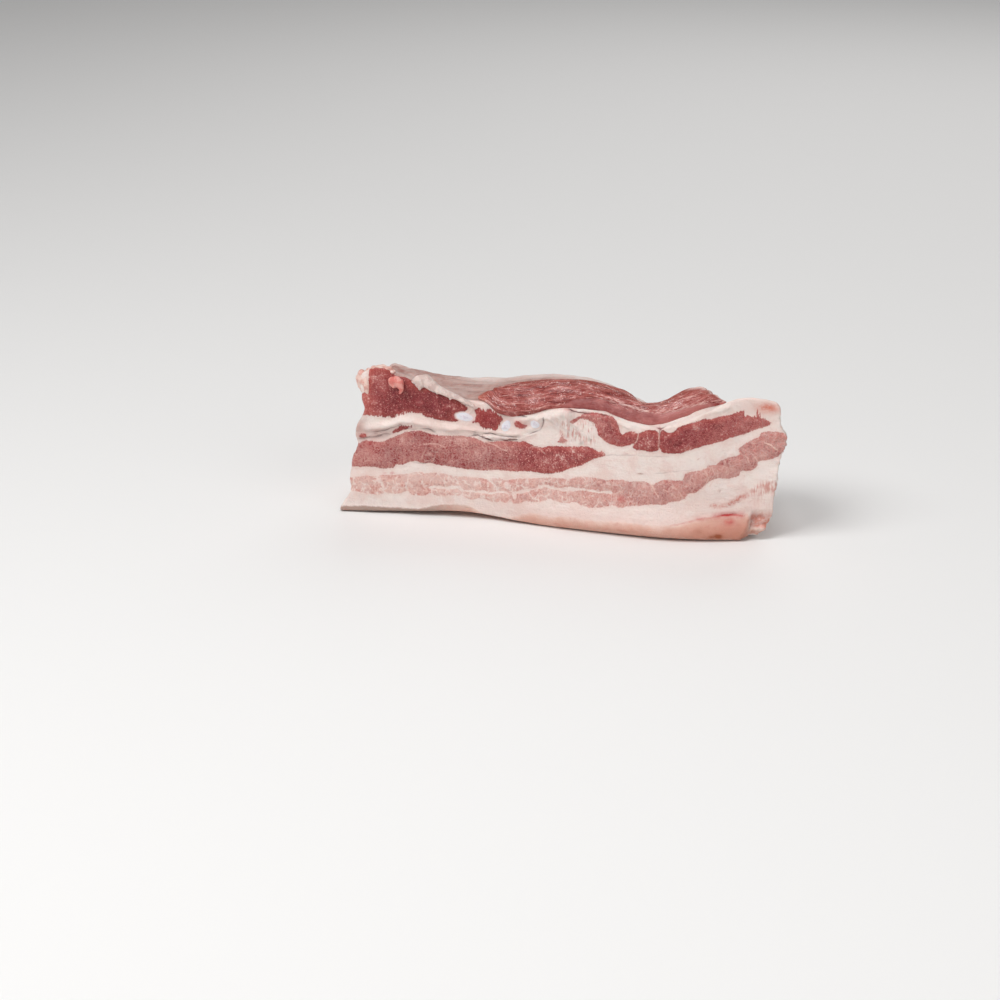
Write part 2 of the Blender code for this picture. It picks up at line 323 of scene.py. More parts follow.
meatColours = {
    "fatCream": tint(238, 223, 216),
    "fatPink": tint(227, 197, 188),
    "fatGrey": tint(211, 194, 189),
    "fatFilm": tint(226, 196, 187),
    "fanPink": tint(210, 154, 145),
    "leanTones": (
        (0.0, tint(230, 202, 194)), (0.2, tint(213, 170, 161)), (0.4, tint(186, 127, 121)),
        (0.6, tint(163, 78, 77)), (0.8, tint(132, 40, 45)), (1.0, tint(108, 26, 33)),
    ),
    "leanPale": tint(204, 142, 132),
    "leanDeep": tint(124, 40, 48),
    "leanRim": tint(192, 92, 80),
    "leanWeb": tint(230, 194, 182),
    "leanSpeck": tint(244, 192, 180),
    "marble": tint(222, 136, 128),
    "gristle": tint(234, 233, 239),
    "gristleRim": tint(233, 212, 207),
    "gristleHeart": tint(202, 192, 206),
    "skinTones": (
        (0.0, tint(229, 200, 189)), (0.25, tint(221, 176, 160)), (0.6, tint(212, 156, 138)),
        (1.0, tint(204, 142, 122)),
    ),
    "skinGrey": tint(172, 146, 134),
    "skinBlush": tint(198, 124, 110),
    "membrane": tint(152, 96, 84),
    "membraneRim": tint(177, 132, 121),
    # painted shade for the clefts and their crisp crease lines
    "cleft": tint(108, 60, 57),
    "blood": tint(192, 48, 50),
    "bruise": tint(158, 84, 52),
    "cornerFlesh": tint(212, 128, 108),
    # a grey film, and painted shade low on the cut face
    "greyFilm": tint(178, 160, 158),
    "streak": tint(205, 143, 132),
}


def meatFinish():
    meat = Finish("rawPork", meatColours)
    where = meat.place()
    slow, coarse, patch = meat.grain(where, 13.0, 1.0), meat.grain(where, 5.5, 3.0), meat.grain(where, 2.4, 3.0)
    fine, finest = meat.grain(where, 0.85, 2.0), meat.grain(where, 0.40, 1.0)
    level = meat.grain(meat.place((9.0, 2.0, 0.8)), 1.0, 2.0)
    upright = meat.grain(meat.stirred(meat.place((0.8, 2.0, 5.0)), 2.0, 0.8), 1.0, 2.0)
    bent = meat.stirred(where, 2.6, 2.6)
    coarseWave, patchWave, uprightWave = coarse - 0.5, patch - 0.5, upright - 0.5
    fineWave, finestWave = fine - 0.5, finest - 0.5
    tone, fan = meat.painted("tone"), meat.painted("fan")
    paler = 1 - tone

    # fat: cream with pink clouds and the faint level drag of the knife
    fat = meat.layered("fatCream", (
        (meat.step(slow * 0.45 + coarse * 0.55 + fineWave * 0.2, 0.44, 0.66) * 0.6, "fatPink"),
        (meat.step(level + fineWave * 0.3, 0.58, 0.76) * 0.32, "fatPink"),
        (meat.step(fine + patchWave * 0.5, 0.60, 0.76) * 0.2, "fatGrey"),
        (meat.painted("rosy"), "fatFilm"),
        # the fan's pink streaks lie in its grooves: pink fat, with painted shade in the grooves
        (meat.step(upright, 0.50, 0.62) * fan * 0.9, "fanPink"),
        (meat.painted("grey") * (0.55 + patchWave * 1.6), "greyFilm"),
    ))

    # lobes scallop the border of a muscle, and hair-thin seams part them; some borders fray into fingers
    lobes = meat.cells(meat.stirred(meat.place((5.6, 30.0, 7.5)), 0.7, 1.5), 1.0)
    hair = (1 - meat.step(lobes, 0.0, 0.13)) * meat.step(patch, 0.40, 0.58) * meat.painted("lobed")
    border = meat.painted("lean") + 0.10 + patchWave * 0.7 + fineWave * 0.9 + finestWave * 0.4
    border = border - meat.step(upright, 0.46, 0.60) * meat.painted("fingers") * 2.6
    isLean = meat.step(border, -0.20, 0.30)
    rim = meat.step(border, 0.0, 0.5) * (1 - meat.step(border, 0.7, 3.2)) * meat.step(tone, 0.3, 0.75)

    # lean: clouded, mottled and parted by a broken pale web, with pale specks that are partly fat and partly painted
    # glints
    noisy = (slow - 0.5) * 0.55 + coarseWave * 0.90 + patchWave * 0.65 + fineWave * 0.55
    grainy = fineWave * 0.8 + finestWave * 0.5 + uprightWave * 0.6 + coarseWave * 0.5
    shade = 0.10 + tone * 0.90 + (noisy + finestWave * 0.50) * (0.40 + tone * 0.9) + uprightWave * tone * 0.35
    shade = shade + grainy * meat.step(tone, 0.40, 0.70)
    drifts = meat.grain(bent, 7.5, 2.0)
    net = 1 - meat.step(meat.cells(bent, 1.6), 0.02, 0.28)
    web = 1 - meat.step(meat.cells(bent, 3.2), 0.0, 0.10)
    # pale specks: partly specks of fat, partly painted glints on the wet lean
    specksAndGlints = 1 - meat.step(meat.cells(where, 1.1, "F1"), 0.14, 0.32)
    specksAndGlints = specksAndGlints * meat.step(coarse + fineWave * 0.6, 0.38, 0.54)
    isDark = meat.step(tone, 0.50, 0.66)
    webColour = meat.blend(isDark, "leanWeb", "marble")
    speckGlintColour = meat.blend(isDark * 0.3, "leanSpeck", "marble")
    lean = meat.layered(meat.ramp(shade, "leanTones"), (
        (meat.step(drifts, 0.50, 0.62) * (0.85 - tone * 1.15), "leanPale"),
        ((1 - meat.step(drifts, 0.38, 0.48)) * tone * 0.6, "leanDeep"),
        (net * meat.step(patch + fineWave * 0.8, 0.34, 0.58) * (paler * paler * 0.90 + 0.03), webColour),
        (web * meat.step(coarse, 0.42, 0.58) * (paler * 0.6), webColour),
        (specksAndGlints * meat.painted("specked"), speckGlintColour),
        (meat.step(finest * 0.5 + fine * 0.3 + upright * 0.2, 0.50, 0.58) * meat.painted("marbled"), "marble"),
        (rim * 0.26 + meat.painted("warm") * 0.42, "leanRim"),
        (hair * meat.step(paler, 0.55, 0.90) * 0.70, "fatCream"),
    ))

    # what is drawn over both: streaks, veins, membrane, gristle, raw corner, skin, stains, and painted shade in the
    # clefts
    brushed = meat.painted("brush") * meat.step(upright + patchWave * 0.6, 0.34, 0.66)
    streak = meat.painted("streak") * (0.75 + fineWave * 2.0 + patchWave * 1.5)
    filmColour = meat.blend(meat.step(coarse * 0.7 + level * 0.3, 0.40, 0.62), "membrane", "membraneRim")
    gristle = meat.painted("gristle") + fineWave * 0.5
    corner = meat.step(coarse * 0.6 + patch * 0.4 + fineWave * 0.3, 0.38, 0.60)
    skinDepth = meat.painted("skin")
    skinColour = meat.layered(meat.ramp(skinDepth * 0.11 + coarseWave * 0.5, "skinTones"), (
        (1 - meat.painted("skinPink"), "skinGrey"),
        (meat.step(slow * 0.5 + patch * 0.5, 0.52, 0.68) * 0.35, "skinBlush"),
    ))
    isSkin = meat.step(skinDepth + patchWave * 1.0 + fineWave * 0.4, -0.50, 0.45)
    broken = 1.0 + patchWave * 1.6 + fineWave * 0.6
    bleeding = meat.drawn(meat.painted("bloodSide") + fineWave * 0.8, 0.0, 0.40, "blood")
    # a crisp painted shade line along each cleft
    crease = meat.drawn(meat.painted("creaseSide"), 0.01, 0.10, "crease")
    colour = meat.layered(fat, (
        (meat.step(border, -1.7, 0.0) * (tone * 0.4 + 0.2), "fatPink"),
        (isLean, lean),
        (meat.sum("MAXIMUM", brushed, streak), "streak"),
        (meat.drawn(meat.painted("veinSide"), 0.0, 0.22, "vein") * (0.65 + fineWave * 2.6 + patchWave * 1.6),
         "leanWeb"),
        (meat.painted("membrane") * (0.92 + patchWave * 0.6), filmColour),
        (meat.step(gristle, -0.8, -0.1), "gristleRim"),
        (meat.step(gristle, -0.12, 0.22), "gristle"),
        (meat.step(gristle + fineWave * 2.4, 0.9, 1.5) * 0.5, "gristleHeart"),
        (meat.painted("corner") * (0.30 + corner * 0.55), "cornerFlesh"),
        (isSkin, skinColour),
        (meat.painted("stain") * broken, "blood"),
        (bleeding * (0.9 + patchWave * 1.8), "blood"),
        (meat.painted("bruise") * broken, "bruise"),
        # painted shade darkens the clefts and their crease lines
        (meat.painted("cleft") * (0.35 + patchWave * 0.8) + crease * (0.85 + patchWave * 1.6), "cleft"),
    ))

    # moisture: lean is patchy and slick, fat waxy, skin dull
    roughness = 0.44 - isLean * 0.06 + patchWave * 0.25 + finestWave * 0.25
    wet = (1 - meat.step(patch * 0.6 + fine * 0.4, 0.38, 0.52)) * (0.35 - isSkin * 0.25)
    height = finestWave * 0.5 + fineWave * 1.0 + patchWave * 1.3 + isLean * (0.15 - net * 0.12 - hair * 0.3)
    height = height + (level - 0.5) * (1 - isLean) * 0.6 - uprightWave * fan * 2.2
    return meat.join(
        {"Base Color": colour, "Roughness": roughness, "Coat Weight": wet, "Normal": meat.lift(height, 0.26)},
        softFlesh,
    )


# The slab: the outlines and heights of its faces, by place along it
slabShape = {
    "halves": np.array((100.0, 24.0, 28.0)),  # the plain box that is bent into the slab
    "step": (0.70, 1.05, 0.60),
    "edgeRound": 1.2,
    "frontY": -25.0,
    "leftLean": 3.5,
    "rightLean": -12.0,
    "knifeWave": 0.45,
    "layerLean": (0.2126, 0.3721),  # how far the layers shift along and up for each millimetre inwards
    "rindEnd": (82.0, 0.25),  # where the skin stops at the table, and how that place moves with height
    "rindRecess": 3.0,
    "rindLift": 2.2,
    "topFront": (
        (-100, 61), (-92, 63), (-89, 66.6), (-84, 69), (-78.5, 68.6), (-75, 66.2), (-69, 64.8),
        (-64, 61.8), (-57, 59.8), (-50, 57.6), (-42, 55.5), (-34, 55), (-24, 53.5), (-10, 54),
        (5, 55.5), (18, 55), (30, 52.5), (43, 51), (55, 54), (64, 58.5), (72, 63.2), (80, 65.8),
        (88, 65.6), (94, 64.8), (100, 62),
    ),
    "topBack": (
        (-100, 52), (-88, 56.5), (-78, 54.5), (-66, 52.6), (-50, 52), (-36, 53.0), (-20, 55.8), (-5, 57.0),
        (10, 55.2), (25, 49), (40, 43.5), (55, 44), (70, 46.5), (85, 47.5), (100, 45.5),
    ),
    "topDrop": ((-100, 3.4), (-60, 3.0), (-30, 1.6), (20, 1.1), (100, 1.15)),
    "mound": (  # how far the top rises behind the strap
        (-40, 0), (-30, 2.5), (-15, 5.5), (0, 6.5), (14, 6.0), (26, 5.0), (36, 4.0), (45, 4.0), (54, 5.0),
        (61, 4.5), (68, 1.5), (74, 0),
    ),
    "skinLift": (
        (-100, 0), (-88, 0.7), (-70, 1.6), (-45, 2.9), (-30, 2.0), (-15, 0.8), (2, 0), (100, 0),
    ),
    "frontPlan": (
        (-100, 0), (-70, 1.5), (-40, 3), (-15, 1), (15, -2), (45, -4), (65, -2.6), (83, 0.5), (100, 1),
    ),
    "backY": ((-100, 23.5), (-60, 25), (-20, 24), (20, 22), (60, 19.5), (100, 17.5)),
    "skinFoot": (
        (-100, 0), (-30, 0.4), (-12, 1.6), (8, 3.5), (28, 4.4), (55, 4.3), (70, 3.2), (84, 1.8), (100, 0),
    ),
    "leftEnd": (
        (0, -100.8), (3, -100), (11, -95.6), (16, -96), (26, -94), (32, -92.3), (37, -93.3),
        (42, -92), (48.5, -88.3), (54, -89.4), (60, -90.2), (70, -89.5),
    ),
    "rightEnd": (
        (0, 86), (3, 88.5), (6, 91.5), (12.5, 94.3), (20, 95), (30, 96.2), (36, 96.6), (41, 98),
        (46, 99.3), (50, 99), (54, 96.6), (60, 96.3), (66, 94.5),
    ),
}

# Where the skin gives way to fat on the cut face
skinLine = (
    (-101, 2.4), (-88.5, 3.5), (-63.7, 4.1), (-57.5, 5.9), (-47.3, 7.3), (-40.4, 7), (-38, 5.7),
    (-31, 3.3), (-25.8, 3), (-19.9, 3.7), (-15.2, 5.7), (-10.2, 5.9), (-4.6, 4.6), (1.4, 5.6),
    (15.2, 4.5), (27.4, 4.9), (41.3, 4.2), (50.3, 5.2), (58.2, 7.6), (66.5, 10), (74.9, 11.9),
    (86, 13.1),
)

# The muscle layers of the cut face: outline, how dark each is from place to place, and how lobed
muscles = {
    "streaky": (
        ((-106, 10.6), (-95.7, 10.3), (-93.6, 10.4), (-90, 9.7), (-83.8, 9.3), (-80.2, 9.6), (-79.7, 11),
         (-78.2, 10.5), (-73.5, 10.6), (-69.9, 11.7), (-68.9, 12.3), (-67.4, 10.6), (-64.3, 10.3),
         (-60.7, 10.5), (-59.2, 12), (-57.7, 12.1), (-55.6, 10.9), (-52.1, 10.9), (-49, 11.7), (-45, 11.7),
         (-43.5, 13.4), (-42.9, 11.1), (-39.9, 10.3), (-36.3, 11.3), (-33.8, 11.2), (-31.8, 10.3),
         (-27.2, 9.9), (-26.7, 11.8), (-25.7, 10.3), (-23.2, 9.7), (-21.7, 11.6), (-20.2, 9.9), (-17.2, 10.1),
         (-15.6, 11.6), (-13.1, 11.2), (-9.1, 11.3), (-6.6, 12.3), (-4.6, 13.4), (-2.6, 12.6), (0.4, 12),
         (4.4, 11.8), (6.4, 12.7), (8.4, 12.3), (10.4, 11.2), (14.4, 10.4), (18.4, 10.8), (21.8, 11.5),
         (22.8, 12.7), (25.3, 12.1), (27.8, 11.6), (30.3, 12.4), (35.2, 13.1), (41.1, 14.3), (44.1, 14.1),
         (47.5, 14.5), (49, 15.9), (52.4, 16.2), (55.8, 18), (57.2, 20.2), (60.6, 21), (63.5, 23.7),
         (66.3, 26.8), (70.2, 28.4), (75, 28.5), (79.4, 30.1), (79.8, 32.4), (84.6, 33), (86.9, 34.7),
         (87.8, 37.6), (93.1, 38.7), (95.9, 39.9), (99.1, 43.7), (106, 44), (106, 51), (98.4, 50.8),
         (95.5, 51.5), (91.2, 51.5), (88.4, 50.5), (87.5, 48.5), (84.1, 46.7), (80.8, 44.4), (78.5, 42.2),
         (79.7, 40.8), (78.6, 39.4), (74.7, 38.2), (71.4, 36.6), (69, 34.4), (65.6, 33.9), (65.2, 32.6),
         (62.3, 31.4), (58.4, 30.6), (55.5, 29.3), (54.6, 26.2), (51.2, 25.7), (48.2, 26), (44.8, 25.2),
         (42.4, 23.7), (41.4, 22.6), (39.9, 23.5), (38, 24.4), (31.6, 24), (28.6, 24.5), (25.1, 24.5),
         (21.2, 23.7), (16.2, 24.6), (9.3, 24.6), (3.3, 22.9), (0.3, 23.3), (-6.7, 22.9), (-10.2, 22.4),
         (-14.7, 21.8), (-18.2, 21.8), (-23.7, 20.4), (-26.7, 21.2), (-30.3, 20.9), (-31.8, 20.2),
         (-36.3, 20.8), (-45.9, 20.6), (-52, 21.4), (-55.6, 21.7), (-59.1, 21.4), (-61.2, 20.8),
         (-62.2, 21.5), (-65.2, 21.3), (-69.3, 20.2), (-75.5, 19.2), (-81.6, 18.7), (-83.7, 17.8),
         (-88.3, 18), (-93.5, 16.8), (-106, 15.3)),
        ((-100, 0.07), (-30, 0.12), (0, 0.15), (20, 0.22), (40, 0.33), (75, 0.36), (95, 0.37)),
        1.0,
    ),
    "flank": (
        ((-106, 22), (-94.1, 22), (-90.3, 22.1), (-85.1, 22.7), (-82.1, 22.1), (-78.5, 22), (-75.4, 22.6),
         (-74.4, 24.3), (-70.8, 24.5), (-68.2, 26), (-65.2, 26.5), (-63.1, 25.9), (-58.1, 26.5),
         (-55.5, 25.6), (-52.5, 25.3), (-48.9, 25.1), (-42.4, 24.5), (-33.8, 24.3), (-28.7, 25),
         (-16.7, 25.1), (-13.2, 25.6), (-6.7, 24.9), (-3.2, 25.3), (1.3, 26.4), (5.7, 28.5), (10.2, 30.1),
         (13.2, 32.2), (15.6, 33.6), (18.1, 34.3), (20.8, 35.6), (19, 37.0), (17.1, 36.8), (15.6, 37.8),
         (12.6, 38.8), (5.7, 38.3), (-4.3, 37.9), (-7.7, 37.1), (-11.2, 37.4), (-13.7, 38.5), (-15.7, 39.4),
         (-18.7, 38.9), (-23.7, 39.1), (-28.7, 38.3), (-33.8, 37.8), (-36.3, 38.8), (-38.8, 39.6),
         (-43.8, 40), (-53.9, 39.3), (-57.4, 39.6), (-61, 40.5), (-64, 41.2), (-67, 40.6), (-69.6, 39.9),
         (-72.1, 38.7), (-74.7, 37.3), (-77.3, 36.1), (-79.3, 34.9), (-82.4, 34.2), (-85.5, 34.7),
         (-88, 34.6), (-90.6, 33.3), (-94, 32.4), (-106, 31.8)),
        ((-95, 0.44), (-80, 0.48), (-60, 0.51), (-40, 0.51), (-24, 0.54), (-8, 0.68), (15, 0.64)),
        0.12,
    ),
    "rib": (
        ((-106, 47), (-87.2, 46.7), (-81, 46.2), (-75, 46.3), (-71.4, 47.6), (-67.9, 49.3), (-62.4, 49.2),
         (-61, 47.8), (-55, 46.8), (-50.7, 46.2), (-45.8, 46.6), (-44.4, 48.6), (-43.2, 50.8), (-40.8, 52.8),
         (-45.6, 56.2), (-50.0, 59.6), (-56.0, 61.4), (-61, 61.6), (-64.6, 62.4), (-66.8, 64.6),
         (-68.8, 66.6), (-73, 66.4), (-77.5, 70.4), (-85.4, 70.6), (-86.3, 62), (-87.8, 57.4),
         (-90, 56), (-106, 55.5)),
        ((-90, 0.54), (-84, 0.72), (-76, 0.84), (-66, 0.88), (-48, 0.92)),
        0.3,
    ),
    "betweenRibs": (
        ((-39.6, 46.6), (-38.6, 48.0), (-37.4, 50.2), (-38.4, 52.2), (-36.2, 53.6), (-33.6, 52.9),
         (-30.8, 53.4), (-28.4, 52.0), (-26.6, 50.6), (-25.3, 48.8), (-26.4, 46.8), (-27.4, 44.9),
         (-28.8, 43.4), (-31, 44.0), (-33.6, 43.8), (-36.2, 45.6)),
        ((-40, 0.74), (-34, 0.92), (-28, 0.80)),
        0.0,
    ),
    "ribFleck": (
        ((-20.4, 47.0), (-19.5, 48.9), (-17.8, 49.2), (-16.4, 47.7), (-14.4, 47.0), (-15.5, 45.2),
         (-18.2, 45.3), (-19.5, 45.7)),
        ((-20, 0.60), (-14, 0.52)),
        0.0,
    ),
    "webHole": (
        ((-75.9, 39.0), (-74.4, 41.3), (-71.6, 42.8), (-68.2, 43.3), (-65.6, 43.2), (-67.8, 41.8),
         (-70.8, 40.8), (-73.8, 39.4)),
        ((-76, 0.76), (-67, 0.84)),
        0.0,
    ),
    "edgeFleck": (
        ((-91.2, 36.4), (-89.8, 37.9), (-88.0, 37.9), (-87.0, 36.8), (-88.4, 35.9), (-90.2, 35.7)),
        ((-91, 0.62), (-87, 0.62)),
        0.0,
    ),
    "fatFleck": (
        ((-0.9, 40.0), (0.6, 42.0), (1.3, 46.2), (1.7, 42.1), (3.4, 40.8), (1.5, 39.6)),
        ((-1, 0.45), (3, 0.45)),
        0.0,
    ),
    "loin": (
        ((4.6, 49.8), (7.4, 52), (10.5, 53.9), (13.7, 54.6), (16.9, 54.7), (20, 54.1), (23.2, 53.1),
         (25.2, 51.2), (26, 48.4), (26.8, 46.2), (27.8, 45.3), (29.2, 46.4), (31.2, 47.1), (33.1, 47.2),
         (34.9, 46.2), (36, 46.8), (37.5, 47.8), (39.5, 48.4), (41.9, 48.3), (43.4, 47.5), (44, 45.9),
         (44.8, 48.3), (46.1, 48.7), (47.8, 47.7), (50.2, 48), (52.1, 50.3), (55, 51.8), (58.4, 53),
         (60.8, 53.9), (63.6, 55.1), (66.5, 55.1), (69.4, 56.3), (72.7, 57.3), (75.6, 58), (77.5, 59.4),
         (80.8, 60.1), (81.5, 58.1), (84.3, 57.8), (85.7, 58.4), (86.2, 61.5), (87.6, 59.6), (89.1, 57.6),
         (91, 56.8), (92.7, 55.2), (91.1, 53.8), (87.8, 52.5), (84, 51), (81.2, 49.3), (77.8, 48.3),
         (74.5, 47), (71.6, 45.6), (67.3, 44), (64.4, 43), (60.1, 41.4), (57.2, 40.2), (54.3, 39),
         (50.4, 38.2), (47, 38.2), (45, 38.8), (44.2, 40.6), (43.1, 38.9), (40.6, 38.5), (38.7, 38.4),
         (37.2, 39), (34.3, 38.6), (32.3, 39.7), (32.7, 41.5), (31.3, 40.9), (29.3, 40.3), (27.4, 39.6),
         (24.9, 40), (22.4, 40.6), (20.4, 41.7), (18.5, 43.1), (17, 44.5), (16.7, 46.5), (15.3, 49.7),
         (12.2, 51.1), (9.8, 51.3), (7.4, 50), (5.8, 48.9)),
        ((5, 0.48), (14, 0.55), (20, 0.57), (30, 0.64), (48, 0.79), (60, 0.70), (75, 0.60), (90, 0.56)),
        0.3,
    ),
}

# A soft streak and a brushed end low on the right
cornerStreak = ((66.7, 15.5), (68.8, 16.6), (71.5, 16.3), (74.5, 17.5), (77.1, 19.5), (79.7, 21.4), (83.1, 23.0),
                (84.6, 21.4), (81, 19.2), (78.5, 17.4), (75.5, 15.3), (72.4, 14.6), (68.9, 14.4), (66.7, 14.6))
cornerBrush = ((84.6, 23.6), (87, 26.4), (89.5, 28.0), (92.1, 28.8), (95.1, 29.0), (97.5, 27.3), (96.5, 24.3),
               (93.1, 23.4), (90.5, 22.6), (87.9, 21.7), (85.4, 21.5))

# Pale seams of fat that part a muscle: half width, then points
fatSeams = (
    (0.62, ((-58.7, 14.6), (-52, 14.9), (-46.5, 15.6), (-44.4, 14.4), (-38.9, 14.2), (-34.3, 14.5),
            (-31.8, 13.8), (-27.7, 14.9), (-23.7, 14.6), (-20.7, 14.3), (-18.2, 15.6), (-14.7, 16.4),
            (-11.6, 17.1), (-9.6, 17.8))),
    (0.72, ((-9.6, 17.8), (-6.6, 19), (-2.6, 18.3), (1.4, 18.1), (5.3, 18.9), (8.3, 18.9), (12.3, 18.4),
            (17.3, 18.3), (23.2, 18.2))),
    (0.45, ((-84.7, 17.7), (-82.7, 17.1), (-81.2, 15.6), (-80.2, 13), (-79.9, 9.9))),
    (0.36, ((-48.5, 20.9), (-46.4, 18.7), (-45.4, 16.2), (-43.4, 14.2))),
    (0.36, ((-31.8, 20.3), (-29.3, 17.9), (-28, 14.8))),
    (0.26, ((-75.5, 38.2), (-73.8, 38.9), (-70.8, 40.3), (-67.8, 41.2), (-65.3, 42.0))),
)

# Hair-thin pale veins: strength, then points
veins = (
    (0.9, ((40.9, 22.8), (42, 21.6), (42.5, 20.1), (43.5, 18.6))),
    (0.5, ((-4, 23), (-3.4, 19), (-5, 16))),
    (0.6, ((44, 46.8), (43.8, 44.8), (44.1, 42.4), (44.1, 39.6))),
    (0.55, ((34.9, 46.3), (34.6, 44.6), (34.0, 42.9), (33, 41.5))),
    (0.6, ((-62.6, 34.4), (-61.2, 35.1), (-56.7, 35.2), (-53.3, 34.5))),
    (0.3, ((-60.8, 33.0), (-61.7, 29.6), (-62.8, 27.6))),
    (0.35, ((-59, 30.6), (-56.2, 29.6), (-57, 27.6), (-60.5, 27.2))),
    (0.6, ((-32.2, 38.0), (-29.6, 37.0), (-26.5, 35.6), (-24.5, 35.0))),
    (0.3, ((-22.9, 35.8), (-21.5, 34.0), (-21.9, 32.0))),
    (0.5, ((-11, 37.1), (-8.8, 36.6), (-7.2, 35.2))),
    (0.4, ((58, 21), (60, 24), (59, 28))),
    (0.5, ((64, 24), (66, 28), (64, 31.5))),
    (0.5, ((67, 25), (69.5, 29), (67.6, 32.5))),
    (0.5, ((52, 17.5), (50, 20), (46.5, 21.4))),
    (0.5, ((54, 19), (52, 22), (49, 23.6))),
    (0.4, ((73, 29), (74, 33), (73, 36))),
    (0.6, ((80, 40.5), (83, 38.6), (84.4, 35.6))),
    (0.5, ((82.4, 42.2), (85.4, 40.4), (87, 37.8))),
    (1.3, ((91.4, 46), (93, 45.5), (94.8, 44.2))),
)

# Round ends of rib gristle: centre, half sizes, turn in degrees
gristleEnds = (
    ((-42.7, 48.9), (3.8, 1.9), -6),
    ((-24.0, 45.9), (1.9, 2.7), -24),
    ((-10.8, 47.8), (2.2, 2.0), 0),
)

# Clefts where layers part: depth, half width, darkness of the shade painted into them, points
clefts = (
    (1.0, 0.50, 0.40, ((-84, 39.2), (-79.5, 40.0), (-75.6, 41.6), (-72, 43.2))),
    (0.8, 0.45, 0.35, ((-91, 35.2), (-86, 36.2), (-81, 37.2))),
    (1.2, 0.60, 0.50, ((-73.5, 40.8), (-70, 41.8), (-66.5, 41.4), (-62, 41.8), (-57, 41.2))),
    (1.4, 0.55, 1.00, ((2.6, 56.4), (4.4, 55.4), (7.6, 54.3), (13.4, 54.4), (19.7, 54.0))),
    (1.5, 0.50, 0.85, ((-38.5, 40.6), (-36.7, 40.8), (-33.5, 39.6), (-29.4, 38.7), (-24.5, 39.1), (-19.5, 39.9))),
    (0.8, 0.40, 0.45, ((-38.5, 42.3), (-35.8, 41.8), (-31.2, 42.1), (-26.7, 41.0), (-17.7, 41.2))),
    (1.1, 0.45, 0.60, ((-20, 41.1), (-17.7, 41.2), (-13.3, 42.9), (-8.8, 45), (-7.5, 47.9), (-7, 50.2))),
    (1.0, 0.45, 0.70, ((-20.5, 51.4), (-18.2, 51), (-15.5, 51.2))),
    (0.5, 0.35, 0.35, ((-68.7, 26.3), (-65.9, 25.6), (-62.2, 25.6), (-57.6, 26.6))),
    (0.5, 0.35, 0.25, ((-59.3, 41.5), (-53.9, 39.6), (-44.8, 38.9), (-38.5, 40.3))),
    (0.6, 0.40, 0.30, ((-85, 36.4), (-80.9, 38.1), (-76.7, 38.4))),
    (0.25, 0.25, 0.22, ((19.4, 35.2), (30, 36), (47.7, 36.6))),
    (0.2, 0.25, 0.15, ((35.9, 27.8), (46, 29), (57.9, 31.3))),
    (0.7, 0.30, 0.10, ((70.5, 10.6), (74.5, 11.9), (79, 12.5))),
    (0.8, 0.45, 0.70, ((40.4, 50.2), (42.4, 49.8), (43.8, 49.0), (45.6, 49.9), (47.4, 50.9))),
    (0.6, 0.40, 0.60, ((43.8, 49.4), (44.2, 47.2))),
)

# Soft folds that stand up from the cut face: height, half width, points
folds = (
    (2.2, 2.3, ((-19, 49.6), (-13, 50.4), (-5, 52.2), (1, 53.6), (4.6, 54.0))),
    (0.7, 1.6, ((-9, 47.6), (-3, 48.6), (2, 49.6))),
    (1.7, 1.5, ((-87, 40.2), (-81, 41.6), (-75.8, 43.6), (-71.6, 45.2), (-66.6, 45.4), (-60, 44.4),
                (-53.9, 43.2), (-46, 43.0))),
    (1.0, 0.9, ((-90, 36.6), (-86, 37.6), (-81, 38.6), (-77.5, 40.2))),
    (0.8, 0.8, ((-46, 43.6), (-40, 42.9), (-31, 43), (-24, 42.3), (-17, 42.6))),
    (0.9, 0.7, ((-36, 39.9), (-30, 40.4), (-22, 40.2), (-16, 41.2), (-11, 43.2))),
    (0.7, 1.1, ((-20, 43.4), (-13.8, 44.8), (-10, 47), (-9.5, 50))),
    (1.1, 0.8, ((7, 48.6), (8.6, 45.5), (9.6, 41))),
    (1.0, 0.7, ((-4, 51), (-1, 47), (3.4, 43))),
    (1.1, 0.8, ((3, 52), (4.2, 47), (6.4, 42.4))),
    (1.0, 0.7, ((11, 49.6), (12.6, 46), (13.2, 42.6))),
    (0.9, 0.7, ((-0.6, 51.6), (1.4, 48.4), (3.2, 46.2))),
    (0.7, 0.9, ((22.5, 54.0), (27, 50.6), (31, 48.6))),
    (0.6, 0.8, ((56, 54.5), (62, 57.2), (68, 58.6), (74, 61))),
)

